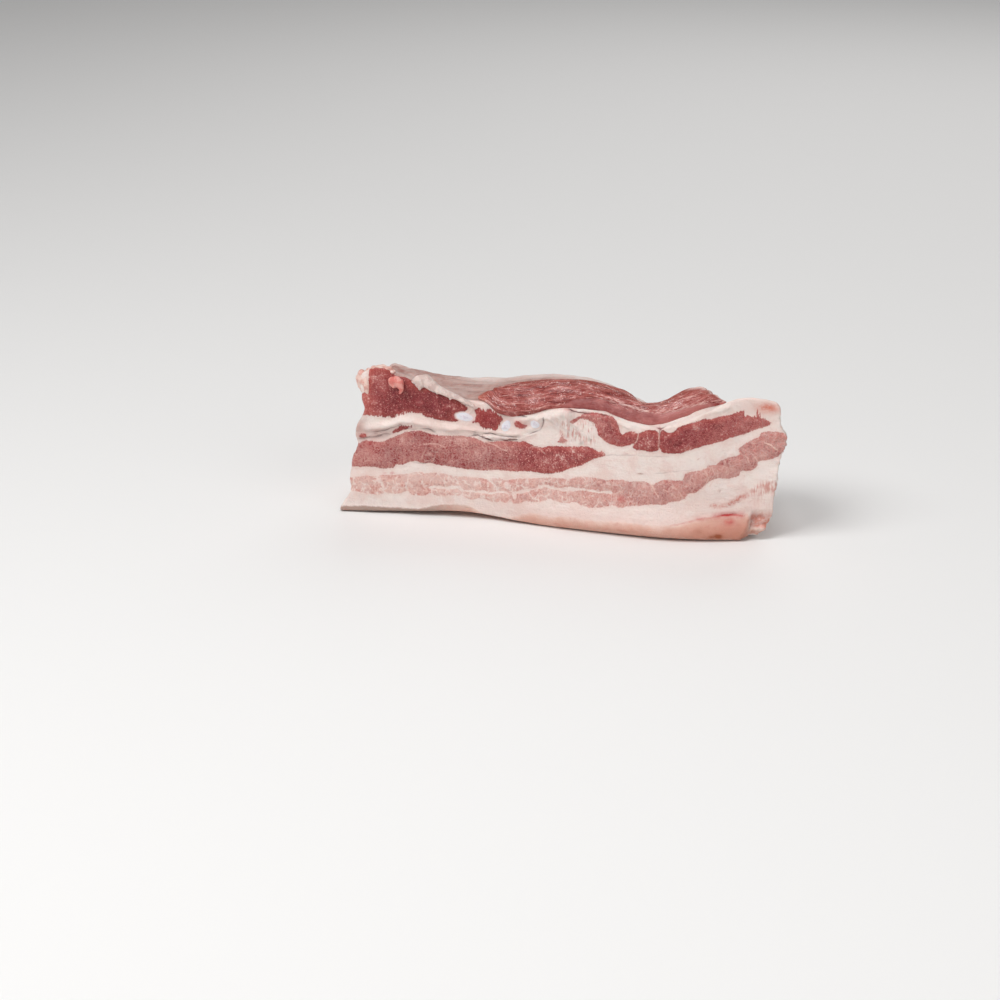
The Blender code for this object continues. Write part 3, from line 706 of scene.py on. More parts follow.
# A thin line of blood and its fainter start, then stains: attribute, strength, half sizes, centre
bloodLine = ((69.5, 10.4), (72, 11.2), (74.2, 11.6), (77.3, 12.1), (81.0, 11.9))
bloodTrail = ((50.3, 5.0), (58.2, 7.4), (64.5, 9.4), (69.5, 10.4))
stains = (
    ("stain", 0.64, (2.5, 1.9), (75.6, 8.8)),
    ("stain", 0.24, (5.6, 3.6), (75.6, 9.0)),
    ("stain", 0.50, (1.3, 1.6), (27.7, 15.8)),
    # the next two darken the gap line under the strap: painted shade, in blood red
    ("stain", 0.60, (2.2, 0.8), (4.4, 55.2)),
    ("stain", 0.50, (5.0, 0.6), (13.5, 54.2)),
    ("stain", 0.35, (2.6, 0.9), (62.5, 8.9)),
    # this one darkens the notch at the strap's dip: painted shade
    ("stain", 0.55, (1.3, 0.8), (43.8, 49.4)),
    ("stain", 0.60, (0.9, 0.7), (-76.1, 20.1)),
    ("stain", 0.25, (0.8, 0.7), (28.9, 36.5)),
    ("stain", 0.35, (0.7, 0.7), (8.1, 44.9)),
    ("stain", 0.25, (2.2, 1.4), (-88.9, 36.6)),
    ("stain", 0.35, (2.5, 2.0), (-17.5, 47.5)),
    ("stain", 0.18, (6.0, 3.5), (-34, 49)),
    ("stain", 0.30, (1.0, 0.7), (-79.6, 19.6)),
    ("stain", 0.15, (5.5, 5.0), (-86, 33)),
    ("bruise", 1.60, (1.8, 0.9), (70.3, 1.4)),
    ("bruise", 0.80, (1.6, 0.8), (67.8, 1.0)),
    ("bruise", 0.22, (3.0, 1.6), (62.0, 3.0)),
    ("bruise", 0.20, (2.4, 1.6), (49.0, 2.6)),
    ("bruise", 0.80, (1.1, 0.35), (35.9, 27.8)),
    ("bruise", 0.40, (0.5, 0.8), (70.9, 22.5)),
    ("bruise", 0.40, (0.5, 0.3), (60.9, 36.6)),
)


# Soft spots of other things: strength, centre, half sizes
softSpots = {
    "warm": ((1.0, (-87, 54), (3.4, 9)), (0.8, (-80, 68), (8, 3.4)), (0.6, (-66, 62), (8, 2.4))),
    "fingers": ((0.7, (-70, 46.5), (11, 4)), (0.7, (86, 60.5), (8, 4)), (0.4, (12, 48), (6, 4)),
                (0.45, (-33, 48.5), (7, 6))),
    "leftWeb": ((0.45, (-82, 39), (7, 3)),),
    "rosyCorner": ((0.8, (88, 62), (10, 4.5)),),
    "rosyFold": ((0.5, (-45, 43), (22, 3)),),
    "fan": ((0.25, (90, 20), (7, 6)),),
    "marbled": ((0.22, (-33, 48.5), (7, 5)),),
    "specked": ((0.15, (26, 43), (8, 4)),),
    "corner": ((1.3, (91, 62), (4.4, 2.2)),),
}


def spotted(name, x, z):
    return sum(strength * spotAt(x, z, centre, halfSizes) for strength, centre, halfSizes in softSpots[name])


def rindEndAt(z):
    return slabShape["rindEnd"][0] + slabShape["rindEnd"][1] * z


def beyondRind(x, z):
    return smooth(-0.5, 0.7, x - rindEndAt(z)) * (1 - smooth(9.5, 15.5, z))


def topHeight(x, depth):
    front, back = through(slabShape["topFront"], x), through(slabShape["topBack"], x)
    mound = through(slabShape["mound"], x) * bell(depth - 0.21, 0.15) * smooth(0.0, 0.09, depth)
    return back + (front - back) * (1 - depth) ** through(slabShape["topDrop"], x) + mound


def bottomHeight(x, depth):
    lift = np.maximum(through(slabShape["skinLift"], x), 0) + slabShape["rindLift"] * beyondRind(x, 0 * x)
    return lift * (1 - smooth(0.0, 0.4, depth))


def frontFace(x, z):
    foot = through(slabShape["skinFoot"], x)
    tuck = 1.0 + 0.75 * np.maximum(foot, 0)
    under = tuck - np.sqrt(np.maximum(tuck ** 2 - np.maximum(tuck - z, 0) ** 2, 0))
    plan = slabShape["frontY"] + through(slabShape["frontPlan"], x) - foot * bell(z - 5.2, 6.4)
    return plan + under * 0.8 + slabShape["rindRecess"] * beyondRind(x, z)


def backFace(x, z):
    return through(slabShape["backY"], x) - 1.5 * ((z - 25) / 30) ** 2


def slabPlace(shares):
    along, depth, rise = shares.T
    x = slabShape["halves"][0] * (2 * along - 1)
    for _ in range(4):
        bottom = bottomHeight(x, depth)
        z = bottom + (topHeight(x, depth) - bottom) * rise
        left = through(slabShape["leftEnd"], z) + slabShape["leftLean"] * depth
        right = through(slabShape["rightEnd"], z) + slabShape["rightLean"] * depth
        x = left + (right - left) * along
    front, back = frontFace(x, z), backFace(x, z)
    return np.stack((x, front + (back - front) * depth, z), 1)


def slabGrid():
    halves, edge = slabShape["halves"], slabShape["edgeRound"]
    counts = [round(2 * half / step) + 1 for half, step in zip(halves, slabShape["step"])]
    lattice, quads = closedGrid(counts)
    box = (lattice / (np.array(counts) - 1) * 2 - 1) * halves
    inner = np.clip(box, edge - halves, halves - edge)
    out = box - inner
    reach = np.linalg.norm(out, axis=1, keepdims=True)
    rounded = np.where(reach > 1e-6, inner + out / np.maximum(reach, 1e-6) * edge, box)
    return (rounded / halves + 1) / 2, quads


def layerPlace(points, depthShare):
    # the layers follow the falling top into the slab, and wander a little on the way
    x, y, z = points.T
    level = z * topHeight(x, 0 * x) / topHeight(x, np.where(depthShare < 0.45, 0.5 * depthShare, depthShare - 0.225))
    near = np.clip(y - slabShape["frontY"], -9, 7)
    wander = smooth(0.04, 0.35, depthShare)
    along, up = slabShape["layerLean"]
    x = x + along * near + 6 * wander * cloud(points, (34, 22, 20), 3)
    return x, level + up * near + 4 * wander * cloud(points, (34, 22, 20), 4)


def muscleLayers(points, x, z, bent, depthShare):
    # how deep a place lies in lean meat, how dark and how lobed that is, and how deep in gristle
    insides = np.stack([insideBy(outline, x, z) for outline, *_ in muscles.values()])
    tones = np.stack([through(stations, x) for _, stations, _ in muscles.values()])
    weights = np.exp(np.clip(insides, -8, 8) * 2.5)
    weights = weights / weights.sum(0)
    lobed = (weights * np.array([[share] for *_, share in muscles.values()])).sum(0)
    loose = 0.95 + 0.9 * cloud(points, 3.6, 9)
    seam = np.max([width * loose - awayFrom(line, *bent) for width, line in fatSeams], axis=0)
    gristle = np.full(x.shape, -9.0)
    for (cx, cz), (rx, rz), turn in gristleEnds:
        c, s = math.cos(math.radians(turn)), math.sin(math.radians(turn))
        u, v = (x - cx) * c + (z - cz) * s, (z - cz) * c - (x - cx) * s
        gristle = np.maximum(gristle, (1 - np.hypot(u / rx, v / rz)) * min(rx, rz))
    gristle = np.where(depthShare < 0.05, gristle, -9.0)
    lean = np.min([insides.max(0), -seam * 1.3, -gristle], axis=0)
    return lean, (weights * tones).sum(0), lobed, gristle


def makeSlab(finish):
    shares, quads = slabGrid()
    points = slabPlace(shares)
    slab = newPiece("slabFlesh", points, quads, finish)
    normals = readPoints(slab.data, "normal")
    depthShare = shares[:, 1]
    rawX, _, rawZ = points.T
    x, z = layerPlace(points, depthShare)
    z = z + 0.15 * cloud(points, 3.4, 5) + 0.12 * cloud(points, 1.5, 6)
    x = x + 0.15 * cloud(points, 4.2, 7)
    bent = (x + 0.6 * cloud(points, 4.5, 10), z + 0.45 * cloud(points, 3.8, 19))

    # which face a point is on
    onFront = 1 - smooth(0.004, 0.03, depthShare)
    onTop = smooth(0.5, 0.85, normals[:, 2]) * smooth(0.3, 0.5, shares[:, 2]) * smooth(0.01, 0.05, depthShare)
    onBottom = smooth(0.5, 0.8, -normals[:, 2])
    nearFront = depthShare < 0.1
    lean, tone, lobed, gristle = muscleLayers(points, x, z, bent, depthShare)
    lean = np.minimum(lean, 6 - 12 * onTop)

    # skin: the underside, and the rim that shows below the fat on the cut faces
    inward = smooth(0.03, 0.4, depthShare)
    pastRind = beyondRind(rawX, rawZ)
    flesh = pastRind * onFront
    skin = (through(skinLine, x) - z) * (1 - inward) + (2.6 - rawZ) * inward
    skin = np.where(onBottom > 0.5, 3.0, skin) - 6 * np.maximum(flesh, smooth(84, 86, x) * (depthShare < 0.2))

    # a membrane covers the top, thin along the back edge, and leaves the fat bare in front of the strap
    depthMm = depthShare * 48
    film = onTop * smooth(0.0, 3.0, depthMm) * (0.85 + 0.3 * cloud(points, (20, 6, 9), 8))
    film *= 1 - 0.9 * smooth(20, 34, x) * (1 - smooth(5, 11, depthMm))
    film *= 1 - 0.75 * smooth(38, 46, depthMm) * onTop * smooth(-66, -50, x)
    leftWeb = 0.55 * smooth(-86, -91, x) * bell(z - 41, 5.0) + spotted("leftWeb", x, z)
    film = np.clip(film + leftWeb * (depthShare < 0.3), 0, 1)

    # clefts with painted shade in them, folds and stains of the cut face
    dark, relief = np.zeros(x.shape), np.zeros(x.shape)
    uneven = np.clip(0.75 + 1.5 * cloud(points, 5.0, 18), 0.1, 1.4)
    for depth, width, darkness, line in clefts:
        share = bell(awayFrom(line, *bent), width) * onFront * uneven
        relief -= 0.6 * depth * share
        dark = np.maximum(dark, darkness * share)
    for height, width, line in folds:
        relief += height * bell(awayFrom(line, *bent), width) * onFront * (0.5 + 0.5 * uneven)
    # a painted shade line in the crease at the rind's cut end
    rindEnd = bell(rawX - rindEndAt(rawZ) - 0.6, 0.5) * (1 - smooth(8, 13, rawZ))
    # which side of each cleft's line a point lies on, and how strong its painted shade line is
    creaseSide, crease = besideLines([(darkness, line) for _, _, darkness, line in clefts], *bent)
    veinSide, vein = besideLines(veins, *bent)
    bloodSide, blood = besideLines([(0.9, bloodLine[1:4]), (0.5, bloodLine), (0.25, bloodTrail)], x, z)
    spots = {"stain": 0.5 * bell(awayFrom(bloodLine, x, z), 1.6) * onFront, "bruise": np.zeros(x.shape)}
    for kind, strength, halfSizes, centre in stains:
        spots[kind] = np.maximum(spots[kind], strength * spotAt(x, z, centre, halfSizes) * onFront)

    # relief: muscles swell between their borders, gristle domes, the knife wandered
    swell = smooth(-0.4, 2.4, lean)
    relief += 0.60 * swell * (0.35 + 0.9 * tone) + 0.5 * smooth(-0.4, 1.6, gristle)
    relief += slabShape["knifeWave"] * (cloud(points, (18, 14, 13), 11) + 0.5 * cloud(points, (7, 7, 6), 12))
    relief += 0.14 * cloud(points, 2.6, 13) + 0.22 * swell * cloud(points, 2.0, 14)
    relief += 0.20 * smooth(-1.2, 0.4, skin) * (onBottom < 0.5) * onFront
    ragged = smooth(94, 97, x) * (depthShare < 0.15) * (onBottom < 0.5)
    relief += ragged * (1.1 * cloud(points, 1.7, 29) + 0.9 * cloud(points, 4.0, 30))
    relief += flesh * (1.2 * cloud(points, (3.4, 2.2, 2.0), 15) + 0.5 * cloud(points, 1.4, 26))
    frill = pastRind * (1 - smooth(3.5, 6.5, rawZ)) * (depthShare < 0.3)
    relief += frill * (0.6 + 1.2 * cloud(points, (1.5, 1.5, 1.2), 32))
    relief += onTop * 0.8 * cloud(points, (24, 5, 9), 16) + onTop * 0.3 * cloud(points, (6, 2.2, 3), 17)
    relief *= 1 - 0.85 * onBottom
    moved = points + normals * relief[:, None]
    moved[:, 2] = np.maximum(moved[:, 2], 0.02)
    movePoints(slab.data, moved)

    # how pink the fat is, with painted shade low on the front, how it fans out, and how the lean is grained
    rosy = spotted("rosyCorner", x, z) + 0.35 * smooth(30, 70, x) * bell(z - 17, 6)
    rosy += 0.45 * bell(skin + 0.6, 1.8) * smooth(-60, 10, x)
    # the low band on the front is painted shade near the table
    rosy += onFront * (0.35 * bell(z - 8, 5) * smooth(-60, -20, x) + spotted("rosyFold", x, z))
    fan = smooth(-3, 2, x) * (1 - smooth(15, 19, x)) * bell(z - 45.5, 6.0) + spotted("fan", x, z)
    marbled = 0.22 * smooth(50, 64, x) * smooth(36, 40, z) + 0.26 * smooth(-34, -20, x)
    marbled += (0.16 + 0.12 * smooth(-50, -64, x)) * smooth(-22, -26, x) * smooth(44, 47, z)
    specked = 0.25 + 0.5 * smooth(-45, -15, x) * (1 - smooth(14, 26, x)) * bell(z - 32, 9)
    specked += 0.18 * smooth(-50, -60, x) * smooth(46, 50, z)
    paintPoints(slab.data, {
        "lean": lean,
        "tone": tone,
        "lobed": lobed,
        "gristle": gristle,
        "warm": np.clip(spotted("warm", x, z), 0, 1),
        "rosy": np.clip(rosy, 0, 1),
        "fan": onFront * np.clip(fan, 0, 1),
        "marbled": marbled + spotted("marbled", x, z),
        "specked": specked + spotted("specked", x, z),
        "fingers": np.clip(spotted("fingers", x, z), 0, 1) * nearFront,
        "streak": onFront * smooth(-0.9, 1.1, insideBy(cornerStreak, x, z)),
        "brush": onFront * smooth(-1.2, 1.2, insideBy(cornerBrush, x, z)) * 0.85,
        "skin": skin,
        "skinPink": smooth(-70, -30, x),
        "membrane": film,
        "corner": np.maximum(flesh * smooth(2.0, 4.5, rawZ), onFront * spotted("corner", x, z)),
        "cleft": np.maximum(dark, rindEnd * onFront),
        "creaseSide": creaseSide,
        "crease": crease * onFront * np.clip(uneven, 0.2, 1),
        "veinSide": veinSide,
        "vein": vein * nearFront,
        "bloodSide": bloodSide,
        "blood": blood * onFront,
        "stain": spots["stain"],
        "bruise": spots["bruise"],
        # grey film at the left end; painted shade in a low band near the table
        "grey": 0.4 * smooth(-78, -100, x) * bell(z - 40, 8) + 0.17 * onFront * bell(z - 6.5, 6),
    })
    print("slab:", len(slab.data.polygons) * 2, "triangles")
    return slab


# The strap of skirt muscle along the top edge
strapShape = {
    "stations": (  # x, y and z of its middle, half width, half thickness
        (-37.5, -20.2, 56.6, 0.6, 0.5), (-32.5, -20.2, 57.4, 2.9, 1.5), (-27, -19.8, 56.7, 6.3, 3.1),
        (-15, -19.4, 57.4, 7.9, 3.9), (0, -18.5, 59.9, 7.3, 3.6), (14, -19.4, 59.6, 7.2, 3.5),
        (26, -20.5, 57.5, 7.0, 3.3), (36, -22.2, 54.6, 5.6, 2.8), (45, -21.3, 55.0, 6.1, 3.1),
        (54, -19.6, 58.7, 7.0, 3.5), (61, -18.6, 60.7, 6.1, 3.1), (67, -18.7, 60.8, 3.0, 1.5),
        (72, -18.6, 60.4, 1.2, 0.8),
    ),
    "underside": 2.3,  # how much thicker it is towards the slab
    "tilt": 42.0,
    "step": 0.55,
    "sides": 110,
    "squareness": 0.86,
    "sleeveReach": (
        (-40, 0), (0, 2.3), (7, 5.6), (14, 7.0), (22, 7.6), (30, 7.0), (40, 6.4), (50, 5.8), (60, 4.6), (75, 1.5),
    ),
    "grooves": (8.0, 11.0, 14.5),
    "bundleDepth": 0.75,
    "fibreDepth": 0.30,
}

strapColours = {
    "fibres": (
        (0.0, tint(98, 32, 30)), (0.28, tint(140, 58, 53)), (0.50, tint(164, 82, 75)),
        (0.72, tint(188, 112, 105)), (1.0, tint(220, 164, 156)),
    ),
    "sleeve": tint(146, 75, 73),
    "sleevePale": tint(176, 105, 100),
    "topTint": tint(158, 76, 62),
    # pale silvery streaks, partly painted glints
    "silver": tint(224, 184, 176),
    # painted shade where the strap's lower edge lies on the slab
    "gap": tint(104, 44, 42),
    # pale lines, and the white of painted glints and edge highlights
    "edge": tint(232, 202, 195),
    "tip": tint(206, 128, 108),
}


def strapFinish():
    strap = Finish("skirtMuscle", strapColours)
    alongFibres = strap.add("ShaderNodeAttribute", {"attribute_name": "fibre"}, output="Vector")
    alongFibres = strap.stirred(alongFibres, 9.0, 1.6)

    def streaks(length, width, detail=2.0):
        squeeze = {0: alongFibres, 1: (1 / length, 1 / width, 1)}
        return strap.grain(strap.add("ShaderNodeVectorMath", {"operation": "MULTIPLY"}, squeeze), 1.0, detail)

    bundles, fibres, threads = streaks(15, 2.2, 3.0), streaks(5, 0.60), streaks(1.5, 0.34, 1.0)
    patch, glint = strap.grain(strap.place(), 4.5, 2.0), strap.grain(strap.place(), 0.50, 1.0)
    bundleWave, fibreWave, threadWave = bundles - 0.5, fibres - 0.5, threads - 0.5
    patchWave, glintWave = patch - 0.5, glint - 0.5
    topSide, light = strap.painted("topSide"), strap.painted("light")
    shade = 0.48 + bundleWave * 1.3 + fibreWave * 1.05 + threadWave * 0.85 + patchWave * 0.45
    shade = shade + glintWave * 0.40 + light - topSide * 0.10
    # pale silvery fibre streaks, partly painted glint streaks
    silverGlintStreaks = strap.step(threads * 0.7 + fibres * 0.3, 0.56, 0.64) * strap.step(patch + bundleWave, 0.44, 0.62)
    # painted glints: small bright dots of light on the wet fibres
    paintedSparkle = strap.step(glint * 0.7 + threads * 0.3, 0.58, 0.65) * strap.step(patch, 0.42, 0.58)
    paleSleeve = strap.step(patch * 0.6 + bundles * 0.4 + light * 1.2, 0.42, 0.66)
    isSleeve = strap.step(strap.painted("sleeve") + fibreWave * 0.6, 0.35, 0.60)
    colour = strap.layered(strap.ramp(shade, "fibres"), (
        (topSide * 0.60, "topTint"),
        (silverGlintStreaks * (0.40 - topSide * 0.28), "silver"),
        (isSleeve * 0.92, strap.blend(paleSleeve, "sleeve", "sleevePale")),
        (paintedSparkle * (0.75 - isSleeve * 0.6), "edge"),
        (strap.painted("silverLine") * strap.step(threads + fibres, 0.85, 1.15), "edge"),
        (strap.painted("rim"), "tip"),
        (strap.painted("gap"), "gap"),
        (strap.painted("hem"), "edge"),
    ))
    roughness = 0.36 + patchWave * 0.3 + glintWave * 0.35
    wet = strap.step(glint * 0.5 + patch * 0.5, 0.44, 0.58) * (0.75 - isSleeve * 0.45)
    height = bundleWave * 1.4 + fibreWave * (1 - isSleeve * 0.85) * 1.5
    height = height + threadWave * (0.8 - isSleeve * 0.5) + glintWave * 0.5
    return strap.join(
        {"Base Color": colour, "Roughness": roughness, "Coat Weight": wet, "Normal": strap.lift(height, 0.30)},
        softFlesh,
    )


def evenTurns(sides):
    # angles that space points evenly round an oval twice as wide as thick
    fine = np.linspace(0, 2 * math.pi, 4001)
    a, b = 2 * np.cos(fine), np.sin(fine)
    run = np.concatenate(([0], np.cumsum(np.hypot(np.diff(a), np.diff(b)))))
    return np.interp(np.arange(sides) / sides * run[-1], run, fine)


def strapPlace(x, turn):
    # turn runs from 0 at the lower front edge, over the front, to pi at the upper edge, and back below
    y, z, width, thick = (through(strapShape["stations"], x, column) for column in (1, 2, 3, 4))
    tilt = math.radians(strapShape["tilt"])
    across = np.array((0, math.cos(tilt), math.sin(tilt)))
    outward = np.array((0, -math.sin(tilt), math.cos(tilt)))
    a, b = (np.sign(way) * np.abs(way) ** strapShape["squareness"] for way in (-np.cos(turn), np.sin(turn)))
    b = np.where(b < 0, b * strapShape["underside"], b)
    return np.stack((x, y, z), 1) + across * (a * width)[:, None] + outward * (b * thick)[:, None]


def tubeFaces(rings, sides):
    # quads round a tube, with a fan on the middle point of each end
    i, j = np.meshgrid(np.arange(rings - 1), np.arange(sides), indexing="ij")
    i, j = i.ravel(), j.ravel()
    k = (j + 1) % sides
    faces = np.stack((i * sides + j, i * sides + k, (i + 1) * sides + k, (i + 1) * sides + j), 1).tolist()
    first, last = rings * sides, rings * sides + 1
    for j in range(sides):
        k = (j + 1) % sides
        faces.append([first, k, j])
        faces.append([last, (rings - 1) * sides + j, (rings - 1) * sides + k])
    return faces


def makeStrap(finish):
    stations, sides = strapShape["stations"], strapShape["sides"]
    first, last = stations[0][0], stations[-1][0]
    rings = round((last - first) / strapShape["step"])
    x = np.repeat(np.linspace(first, last, rings), sides)
    share = np.tile(np.arange(sides) / sides, rings)  # 0 at the lower edge, 0.5 at the upper, then back below
    ends = np.array([stations[0][:3], stations[-1][:3]], float)
    points = np.concatenate((strapPlace(x, np.tile(evenTurns(sides), rings)), ends))
    x = np.concatenate((x, ends[:, 0]))
    share = np.concatenate((share, (0.25, 0.25)))
    strap = newPiece("skirtStrap", points, tubeFaces(rings, sides), finish)
    faceOutwards(strap.data)
    normals = readPoints(strap.data, "normal")
    girth = 4.84 * through(stations, x, 3)  # the whole way round
    around = np.where(share > 0.75, share - 1, share) * girth  # millimetres from the lower edge
    wander = 0.9 * cloud(points, (22, 9, 9), 21)
    fibrePlace = np.stack((x, around + wander, 0 * x), 1)

    # a smooth sleeve wraps the lower edge; the rest shows bundles, fibres and a few grooves
    reach = through(strapShape["sleeveReach"], x)
    sleeve = smooth(-3, 4, x) * (1 - smooth(64, 70, x))
    sleeve = sleeve * (1 - smooth(reach - 0.5, reach + 0.5, around + wander * 0.5))
    drift = around + 2.0 * cloud(fibrePlace, (30, 40, 1), 27)
    relief = strapShape["bundleDepth"] * cloud(fibrePlace, (26, 2.6, 1), 22)
    relief += strapShape["fibreDepth"] * cloud(fibrePlace, (11, 0.9, 1), 23)
    relief *= 1 - 0.85 * sleeve
    relief += 0.6 * cloud(points, (16, 8, 8), 24) + 0.15 * cloud(points, (4, 3, 3), 25)
    relief += 0.45 * smooth(reach - 0.4, reach + 0.5, around) * (share < 0.6)
    for groove in strapShape["grooves"]:
        relief -= 0.7 * bell(drift - groove, 0.7) * (0.6 + 0.8 * cloud(fibrePlace, (14, 60, 1), 28))
    relief *= smooth(first, first + 6, x) * smooth(last, last - 5, x)
    movePoints(strap.data, points + normals * relief[:, None])
    attribute = strap.data.attributes.new("fibre", "FLOAT_VECTOR", "POINT")
    attribute.data.foreach_set("vector", fibrePlace.astype(np.float32).ravel())
    # painted shade along the strap's lower edge, where it lies on the slab
    gap = (0.5 + 0.5 * bell(x - 11, 9)) * bell(around + 0.1, 0.65)
    paintPoints(strap.data, {
        "sleeve": sleeve,
        "topSide": smooth(0.30, 0.42, share) * (share < 0.62),
        "rim": 0.65 * smooth(58, 70, x) * smooth(6, 11, around) + 0.5 * smooth(-30, -38, x),
        # a painted highlight along the upper edge at the right tip
        "hem": 0.85 * bell(share - 0.44, 0.035) * smooth(53, 58, x),
        "gap": gap * smooth(1, 5, x) * (1 - smooth(46, 56, x)),
        # a pale line at the sleeve's border, partly a painted highlight
        "silverLine": bell(around - reach - 0.4, 0.6) * smooth(14, 26, x) * 0.55,
        "light": 0.17 * smooth(32, 52, x) + 0.06 * smooth(0, -20, x) * (1 - smooth(3, 7, around)),
    })
    print("strap:", len(strap.data.polygons) * 2, "triangles")
    return strap


# Silvery threads that lie along the strap, grown on guides by geometry nodes
threadShape = {
    "count": 80,
    "radius": 0.14,
    "wander": 0.22,
    "seed": 7,
    "sides": 6,
    "spacing": 0.9,
    "colours": (tint(190, 122, 115), tint(220, 168, 160)),
}


def threadTree(finish):
    tree = bpy.data.node_groups.new("silverThreads", "GeometryNodeTree")

    def put(kind, sockets, **settings):
        node = tree.nodes.new(kind)
        for key, value in settings.items():
            setattr(node, key, value)
        for key, value in sockets.items():
            if isinstance(value, bpy.types.NodeSocket):
                tree.links.new(value, node.inputs[key])
            else:
                node.inputs[key].default_value = value
        return node

    tree.interface.new_socket("Geometry", in_out="INPUT", socket_type="NodeSocketGeometry")
    kinds = {"Radius": "Float", "Wander": "Float", "Spacing": "Float", "Sides": "Int", "Seed": "Int"}
    for name, kind in kinds.items():
        tree.interface.new_socket(name, in_out="INPUT", socket_type="NodeSocket" + kind)
    tree.interface.new_socket("Geometry", in_out="OUTPUT", socket_type="NodeSocketGeometry")
    given = put("NodeGroupInput", {}).outputs
    spaced = put("GeometryNodeResampleCurve", {"Curve": given["Geometry"], "Length": given["Spacing"]}, mode="LENGTH")

    # each point leaves its guide a little, in a random direction
    anyWay = {"Min": (-1, -1, -1), "Max": (1, 1, 1), "Seed": given["Seed"]}
    push = put("FunctionNodeRandomValue", anyWay, data_type="FLOAT_VECTOR").outputs[0]
    push = put("ShaderNodeVectorMath", {0: push, "Scale": given["Wander"]}, operation="SCALE").outputs[0]
    moved = put("GeometryNodeSetPosition", {"Geometry": spaced.outputs["Curve"], "Offset": push})

    # thick in the middle and thin at both ends
    along = put("GeometryNodeSplineParameter", {}).outputs["Factor"]
    thickness = put("ShaderNodeFloatCurve", {"Value": along})
    curve = thickness.mapping.curves[0]
    curve.points[0].location = (0, 0.12)
    curve.points[1].location = (1, 0.12)
    curve.points.new(0.5, 1.0)
    thickness.mapping.update()
    thickness = thickness.outputs[0]
    sized = put("GeometryNodeSetCurveRadius", {"Curve": moved.outputs["Geometry"], "Radius": thickness})
    ring = put("GeometryNodeCurvePrimitiveCircle", {"Resolution": given["Sides"], "Radius": given["Radius"]})
    swept = put("GeometryNodeCurveToMesh", {
        "Curve": sized.outputs["Curve"], "Profile Curve": ring.outputs["Curve"], "Fill Caps": True})
    if "Scale" in swept.inputs:
        tree.links.new(thickness, swept.inputs["Scale"])
    real = put("GeometryNodeRealizeInstances", {"Geometry": swept.outputs["Mesh"]})
    dressed = put("GeometryNodeSetMaterial", {"Geometry": real.outputs["Geometry"], "Material": finish})
    put("NodeGroupOutput", {"Geometry": dressed.outputs["Geometry"]})
    return tree


def threadFinish():
    thread = Finish("silverThread")
    grain = thread.grain(thread.place(), 1.4, 2.0)
    colour = thread.blend(thread.step(grain, 0.35, 0.7), *threadShape["colours"])
    return thread.join(
        {"Base Color": colour, "Roughness": 0.26 + grain * 0.2, "Normal": thread.lift(grain, 0.05)}, softFlesh)


def makeThreads(finish):
    draw = np.random.default_rng(threadShape["seed"])
    guide = bpy.data.curves.new("threadGuides", "CURVE")
    guide.dimensions = "3D"
    stops = 8
    for _ in range(threadShape["count"]):
        start = draw.uniform(-33, 62)
        length = draw.uniform(4, 13)
        turn = draw.uniform(0.18, 0.80) * math.pi
        if start > -2:
            turn = draw.uniform(0.36, 0.84) * math.pi
        xs = np.linspace(start, min(start + length, 69), stops)
        turns = turn + draw.uniform(-0.10, 0.10) * np.linspace(0, 1, stops)
        spline = guide.splines.new("POLY")
        spline.points.add(stops - 1)
        for point, place in zip(spline.points, toFrame(strapPlace(xs, turns))):
            point.co = (*place, 1.0)
            point.radius = 1.0
    holder = linked("threadGuides", guide)
    modifier = holder.modifiers.new("threads", "NODES")
    modifier.node_group = threadTree(finish)
    wanted = {"Radius": threadShape["radius"] * mm, "Wander": threadShape["wander"] * mm,
              "Spacing": threadShape["spacing"] * mm, "Sides": threadShape["sides"], "Seed": threadShape["seed"]}
    for item in modifier.node_group.interface.items_tree:
        if item.in_out == "INPUT" and item.name in wanted:
            modifier[item.identifier] = wanted[item.name]
    mesh = plainMesh(holder, "silverThreads")
    holder.modifiers.remove(modifier)
    bpy.data.objects.remove(holder)
    faceOutwards(mesh)
    mesh.shade_smooth()
    print("threads:", len(mesh.polygons), "faces")
    return linked("silverThreads", mesh)


